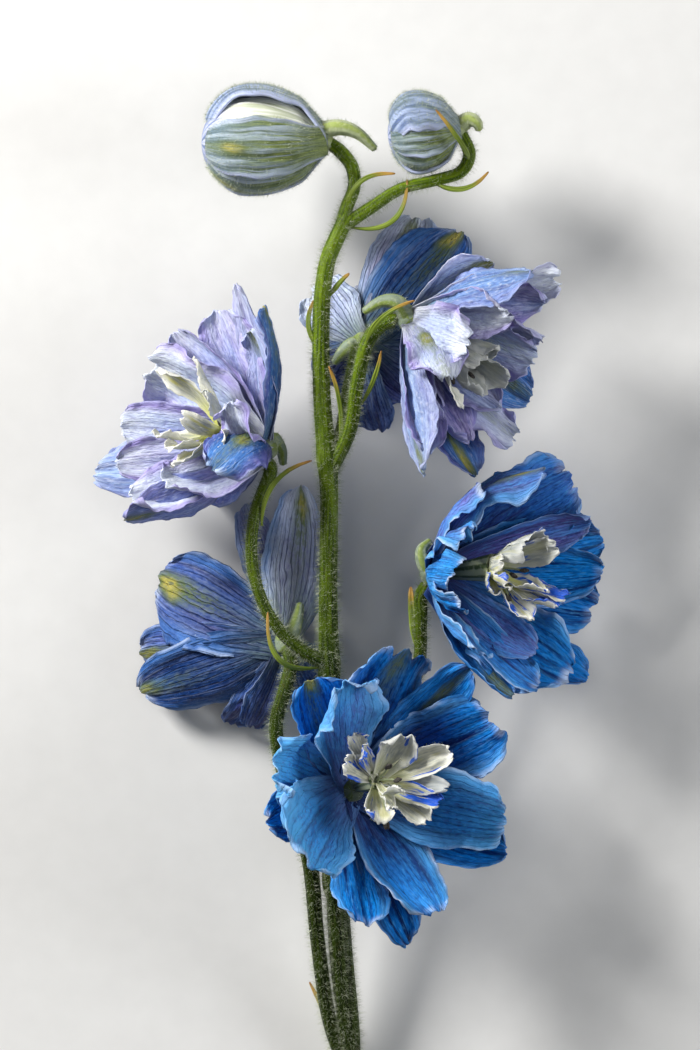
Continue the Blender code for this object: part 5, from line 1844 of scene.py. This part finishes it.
def add_sepal(gathered, bud, index, turn, width, spot, blue, layer):
    """One sepal that hugs the bud from its foot to its nose."""
    foot, along_bud, length, up, toward = bud_frame(bud)
    sepal = Petal(tip=bud.nose, width=width, blunt=0.42, neck=0.3, belly=0.55)
    share = np.linspace(0.0, 0.99, BUD_ROWS)[:, None, None]
    spread = np.linspace(-1.0, 1.0, BUD_COLUMNS)[None, :, None]
    across = 0.7 * spread + 0.3 * np.sin(spread * math.pi / 2)
    swell = bud.girth / 2 * bud_swell(share)
    half = half_width(sepal, share) * (1 + 0.03 * np.sin(23 * share + index))
    angle = math.radians(turn)
    out = math.sin(angle) * up + math.cos(angle) * toward
    side = np.cross(along_bud, out)
    lean = across * half / np.maximum(swell, NARROWEST_SWELL)
    direction = np.cos(lean) * out + np.sin(lean) * side
    middle = np.sin(math.pi * share)
    ridges = SEPAL_RIDGE * np.cos(5 * math.pi * across + 2 * index) * middle
    keel = KEEL_HEIGHT * np.exp(-((across / KEEL_HALF_WIDTH) ** 2)) * middle
    flare = EDGE_FLARE * np.abs(across) ** 6 * middle
    wavy = EDGE_WAVE * across**2 * np.sin(9 * share + 2.1 * index + 2 * (across < 0))
    raised = swell - LOWEST_SEPAL + SEPAL_LIFT * layer + ridges + keel + flare + wavy
    rounding = TIP_ROUNDING * width * np.abs(across) ** 3 * share**4
    grid = foot + along_bud * (length * share - rounding) + direction * raised
    gathered.add_sheet(
        grid,
        grid_normals(grid) * SEPAL_THICKNESS / 2,
        np.broadcast_to(share[..., 0], grid.shape[:2]),
        np.broadcast_to(across[..., 0], grid.shape[:2]),
        tint=(0.0, blue, 0.0),
        marks=(spot, SEPAL_MARGIN, SEPAL_SEED_STEP * index),
        sides=(0.0, 0.0, SEPAL_SPOT_AT),
        downy=np.repeat((1.0, 0.0), BUD_ROWS * BUD_COLUMNS),
    )


def add_bud_core(gathered, bud):
    """The folded white petals inside: a pleated egg that follows the bud's profile.

    Its rings turn the other way from those of a lump, so each face is turned round.
    """
    foot, along_bud, length, up, toward = bud_frame(bud)
    toward_nose = np.sin(np.linspace(0, math.pi / 2, CORE_RINGS))[:, None, None]
    share = 0.02 + (NOSE_SHARE - 0.021) * toward_nose
    angles = np.linspace(0.0, 2 * math.pi, CORE_SIDES, endpoint=False)[None, :, None]
    out = np.cos(angles) * toward + np.sin(angles) * up
    pleats = 0.045 * np.sin(6 * angles + 3 * share) + 0.03 * np.sin(13 * angles - 5 * share)
    radius = bud.girth / 2 * BUD_CORE_SHARE * bud_swell(share) * (1 + pleats)
    body = foot + along_bud * (length * share + CORE_OUT) + radius * out
    rings, sides = body.shape[:2]
    nose = foot + along_bud * (length * NOSE_SHARE + CORE_OUT)
    points = np.vstack((body.reshape(-1, 3), foot, nose))
    faces = [face[:1] + face[:0:-1] for face in egg_faces(rings, sides)]
    seen = np.append(np.repeat(share.ravel(), sides), (0.0, 1.0))
    round_way = np.append(np.tile(angles.ravel(), rings), (0.0, 0.0))
    uv = np.stack((np.abs(round_way / math.pi - 1), seen), axis=1)
    gathered.add(points, faces, petal_uv=uv, tint=(1.0, 0.0, 0.0), marks=(0.0, 0.0, 0.4))


def build_bud(bud):
    """A bud's folded petals and its sepals as one mesh."""
    gathered = Gathered()
    add_bud_core(gathered, bud)
    for index, sepal in enumerate(bud.sepals):
        add_sepal(gathered, bud, index, *sepal)
    return gathered.finished(bud.name + "_sepals", BUD_BLUE_GREEN)


def build_bud_spur(bud):
    """A bud's spur and the rounded joint that it leaves from."""
    gathered = Gathered()
    points, faces, grain = spur_shape(bud.spur)
    gathered.add(points, faces, grain=grain, downy=1.0)
    foot, along_bud = bud_frame(bud)[:2]
    points, faces = lump(foot + 0.5 * along_bud, along_bud, *BUD_JOINT, 28, 14)
    gathered.add(points, faces, grain=(points - foot) / BUD_JOINT[1], downy=1.0)
    return gathered.finished(bud.name + "_spur", PALE_SPUR)


BUD_PIECES, BUD_SPURS = [], []
for bud in BUDS:
    BUD_PIECES.append(settle(build_bud(bud), "bud_blue_green", bud.name))
    BUD_SPURS.append(settle(build_bud_spur(bud), "bud_blue_green", bud.name))

# %% [markdown]
# The whole spike is downy: silver hairs, the longest about two millimetres, stand on the stem
# and the stalks, shorter ones on the buds and the eyes, and a fine blue down on the outside of
# the sepals. That is thousands of the same thing on a surface, so Geometry Nodes make them. The tree
# scatters points where the mesh says that down grows, puts a three-sided cone on each point, and
# leaves out those that would reach the table. One tree serves every piece, with its own length
# and density.

# %% The tree that grows hairs
HAIR_INPUTS = {
    "Surface": "NodeSocketGeometry",
    "Hairs per square metre": "NodeSocketFloat",
    "Length": "NodeSocketFloat",
    "Root Radius": "NodeSocketFloat",
    "Lean": "NodeSocketFloat",
    "Lowest Tip": "NodeSocketFloat",
    "Seed": "NodeSocketInt",
    "Finish": "NodeSocketMaterial",
}
SHORTEST_HAIR = 0.55
LONGEST_HAIR = 1.25


def hair_tree():
    """Points on the downy surface, a cone on each, and a finish."""
    tree = bpy.data.node_groups.new("downy_hairs", "GeometryNodeTree")
    add_sockets(tree, HAIR_INPUTS)
    add_sockets(tree, {"Hairs": "NodeSocketGeometry"}, "OUTPUT")
    given = given_wires(tree)
    seed = given["Seed"]
    downy = wire(tree, "GeometryNodeInputNamedAttribute", {"Name": "downy"}, data_type="FLOAT")
    density = given["Hairs per square metre"] * downy
    inputs = {"Mesh": given["Surface"], "Density": density, "Seed": seed}
    scattered = node(tree, "GeometryNodeDistributePointsOnFaces", inputs, distribute_method="RANDOM")
    points, normal = (Wire(tree, scattered.outputs[name]) for name in ("Points", "Normal"))

    inputs = {0: (-1.0, -1.0, -1.0), 1: (1.0, 1.0, 1.0), "Seed": seed}
    sideways = wire(tree, "FunctionNodeRandomValue", inputs, data_type="FLOAT_VECTOR")
    inputs = {0: sideways, "Scale": given["Lean"]}
    leaning = wire(tree, "ShaderNodeVectorMath", inputs, operation="SCALE")
    pointing = wire(tree, "ShaderNodeVectorMath", {0: normal, 1: leaning}, operation="ADD")
    direction = wire(tree, "ShaderNodeVectorMath", {0: pointing}, operation="NORMALIZE")
    inputs = {2: SHORTEST_HAIR, 3: LONGEST_HAIR, "Seed": seed}
    length = given["Length"] * wire(tree, "FunctionNodeRandomValue", inputs, 1, data_type="FLOAT")

    root_level = wire(tree, "GeometryNodeInputPosition").split()[2]
    tip_level = direction.split()[2] * length + root_level
    inputs = {"Geometry": points, "Selection": maths("LESS_THAN", tip_level, given["Lowest Tip"])}
    kept = wire(tree, "GeometryNodeDeleteGeometry", inputs, domain="POINT")
    inputs = {"Vertices": 3, "Radius Top": 0.0, "Radius Bottom": given["Root Radius"], "Depth": 1.0}
    cone = wire(tree, "GeometryNodeMeshCone", inputs, "Mesh", fill_type="NGON")
    turned = wire(tree, "FunctionNodeAlignRotationToVector", {"Vector": direction}, axis="Z")
    size = at(1.0, 1.0, length)
    inputs = {"Points": kept, "Instance": cone, "Rotation": turned, "Scale": size}
    placed = wire(tree, "GeometryNodeInstanceOnPoints", inputs)
    real = wire(tree, "GeometryNodeRealizeInstances", {0: placed})
    inputs = {"Geometry": real, "Material": given["Finish"]}
    finished = wire(tree, "GeometryNodeSetMaterial", inputs)
    finished.into(node(tree, "NodeGroupOutput").inputs["Hairs"])
    return tree


HAIR_TREE = hair_tree()
print("hair tree:", len(HAIR_TREE.nodes), "nodes")

# %% [markdown]
# To grow the hairs, a second object with the piece's mesh carries the tree as a modifier for a
# moment. Its result is read as a plain mesh and the carrier goes, so nothing depends on a live
# modifier.


# %% Grow hairs on a piece
LOWEST_HAIR_TIP = 0.15


def grow_hairs(piece, name, slot, node_name, seed, finish, per_square_mm, length, radius, lean):
    """Hairs on a piece's surface, as a plain mesh that rides and replaces like the piece."""
    carrier = bpy.data.objects.new(name + "_carrier", piece.data)
    bpy.context.scene.collection.objects.link(carrier)
    modifier = carrier.modifiers.new("hairs", "NODES")
    modifier.node_group = HAIR_TREE
    values = {
        "Hairs per square metre": per_square_mm / METRES_PER_MM**2,
        "Length": length * METRES_PER_MM,
        "Root Radius": radius * METRES_PER_MM,
        "Lean": lean,
        "Lowest Tip": LOWEST_HAIR_TIP * METRES_PER_MM,
        "Seed": seed,
        "Finish": finish,
    }
    items = HAIR_TREE.interface.items_tree
    sockets = {item.name: item.identifier for item in items if item.in_out == "INPUT"}
    for label, value in values.items():
        modifier[sockets[label]] = value
    graph = bpy.context.evaluated_depsgraph_get()
    mesh = bpy.data.meshes.new_from_object(carrier.evaluated_get(graph))
    bpy.data.objects.remove(carrier)
    mesh.name = name
    made = bpy.data.objects.new(name, mesh)
    bpy.context.scene.collection.objects.link(made)
    return settle(made, slot, node_name)


STEM_HAIRS = (SILVER_HAIR, 5.0, 1.7, 0.03, 0.6)
BRACT_HAIRS = (SILVER_HAIR, 1.6, 0.9, 0.035, 0.5)
PETAL_DOWN = (BLUE_DOWN, 4.5, 0.6, 0.013, 0.4)
HUB_HAIRS = (SILVER_HAIR, 3.0, 0.8, 0.035, 0.6)
EYE_HAIRS = (SILVER_HAIR, 3.0, 0.7, 0.03, 0.8)
BUD_HAIRS = (SILVER_HAIR, 3.2, 0.95, 0.035, 0.6)
SPUR_HAIRS = (SILVER_HAIR, 3.0, 1.0, 0.035, 0.6)

grow_hairs(STEM, "stem_hairs", "stem_green", "stem", 11, *STEM_HAIRS)
grow_hairs(BRACT_PIECE, "bract_hairs", "stem_green", "stem", 12, *BRACT_HAIRS)
for seed, (piece, bloom) in enumerate(zip(PETAL_PIECES, BLOOMS), 20):
    grow_hairs(piece, bloom.name + "_down", bloom.finish, bloom.name + "_petals", seed, *PETAL_DOWN)
for seed, (piece, bloom) in enumerate(zip(HUB_PIECES, BLOOMS), 40):
    grow_hairs(piece, bloom.name + "_hub_hairs", bloom.finish, bloom.name + "_petals", seed, *HUB_HAIRS)
for seed, (piece, bloom) in enumerate(zip(EYE_PIECES, BLOOMS), 60):
    grow_hairs(piece, bloom.name + "_eye_hairs", "cream_eye", bloom.name + "_eye", seed, *EYE_HAIRS)
for index, (piece, spur, bud) in enumerate(zip(BUD_PIECES, BUD_SPURS, BUDS)):
    grow_hairs(piece, bud.name + "_hairs", "bud_blue_green", bud.name, 80 + index, *BUD_HAIRS)
    grow_hairs(spur, bud.name + "_spur_hairs", "bud_blue_green", bud.name, 90 + index, *SPUR_HAIRS)

# %% [markdown]
# The spike lies on a plain pale table. A long lens high above it keeps the picture as flat as a
# product shot, and leaves the photo's own proportions. The table is large, so that it also fills a
# view from the side.

# %% The table
FLOOR_SIZE = 8.0
FLOOR_LEVEL = -0.0002


def table_finish():
    """Matt pale board with a faint grain."""
    made = new_finish("pale_board", specular=0.2, roughness=0.8)
    grain = noise(object_place(made), 160.0, 3.0)
    return dressed(made, blended(grain, rgb(0.70, 0.70, 0.69), rgb(0.76, 0.76, 0.75)))


bpy.ops.mesh.primitive_plane_add(size=FLOOR_SIZE, location=(0.0, 0.0, FLOOR_LEVEL))
table = bpy.context.object
table.name = "table"
table.data.materials.append(table_finish())
print("table of", FLOOR_SIZE, "m")

# %% [markdown]
# Soft light from three large panels: the main one high on the left, a weaker one on the right
# and a faint one above. The background is a pale grey that fills the shadows.

# %% Light
LIT_POINT = (0.0, 0.0, 0.02)
ROOM_GREY = (0.8, 0.82, 0.85, 1.0)
ROOM_STRENGTH = 0.095
WARM_WHITE = (1.0, 0.98, 0.95)
COOL_WHITE = (0.97, 0.98, 1.0)


def panel(name, location, size, power, tint=(1.0, 1.0, 1.0)):
    """A soft square light that faces the middle of the spike."""
    light = bpy.data.lights.new(name, "AREA")
    light.shape = "SQUARE"
    light.size = size
    light.energy = power
    light.color = tint
    made = bpy.data.objects.new(name, light)
    made.location = location
    toward_spike = Vector(LIT_POINT) - Vector(location)
    made.rotation_mode = "QUATERNION"
    made.rotation_quaternion = toward_spike.to_track_quat("-Z", "Y")
    bpy.context.scene.collection.objects.link(made)


panel("key", (-0.60, 0.45, 0.45), 0.25, 11.8, WARM_WHITE)
panel("fill", (0.70, 0.05, 0.38), 0.30, 2.8, COOL_WHITE)
panel("top", (0.0, 0.1, 0.95), 0.5, 1.2)
world = bpy.data.worlds.new("pale_room")
world.use_nodes = True
background = world.node_tree.nodes["Background"].inputs
background["Color"].default_value = ROOM_GREY
background["Strength"].default_value = ROOM_STRENGTH
bpy.context.scene.world = world
bpy.context.scene.view_settings.view_transform = "Standard"
print("lights:", ", ".join(light.name for light in bpy.data.lights))

# %% [markdown]
# The camera looks straight down on the middle of the photo's frame.

# %% Camera
CAMERA_HEIGHT = 1.6
FOCUS_LEVEL = 0.025
SENSOR = 36.0
camera_data = bpy.data.cameras.new("camera")
camera = bpy.data.objects.new("camera", camera_data)
bpy.context.scene.collection.objects.link(camera)
frame_height = PHOTO_ROWS * MM_PER_PHOTO_PIXEL * METRES_PER_MM
middle = place(PHOTO_COLUMNS / 2, PHOTO_ROWS / 2, 0.0) * METRES_PER_MM
camera_data.sensor_width = SENSOR
camera_data.lens = SENSOR * (CAMERA_HEIGHT - FOCUS_LEVEL) / frame_height
camera_data.clip_start = 0.05
camera_data.clip_end = 20.0
camera.location = (middle[0], middle[1], CAMERA_HEIGHT)
bpy.context.scene.camera = camera
print("lens", round(camera_data.lens, 1), "mm")
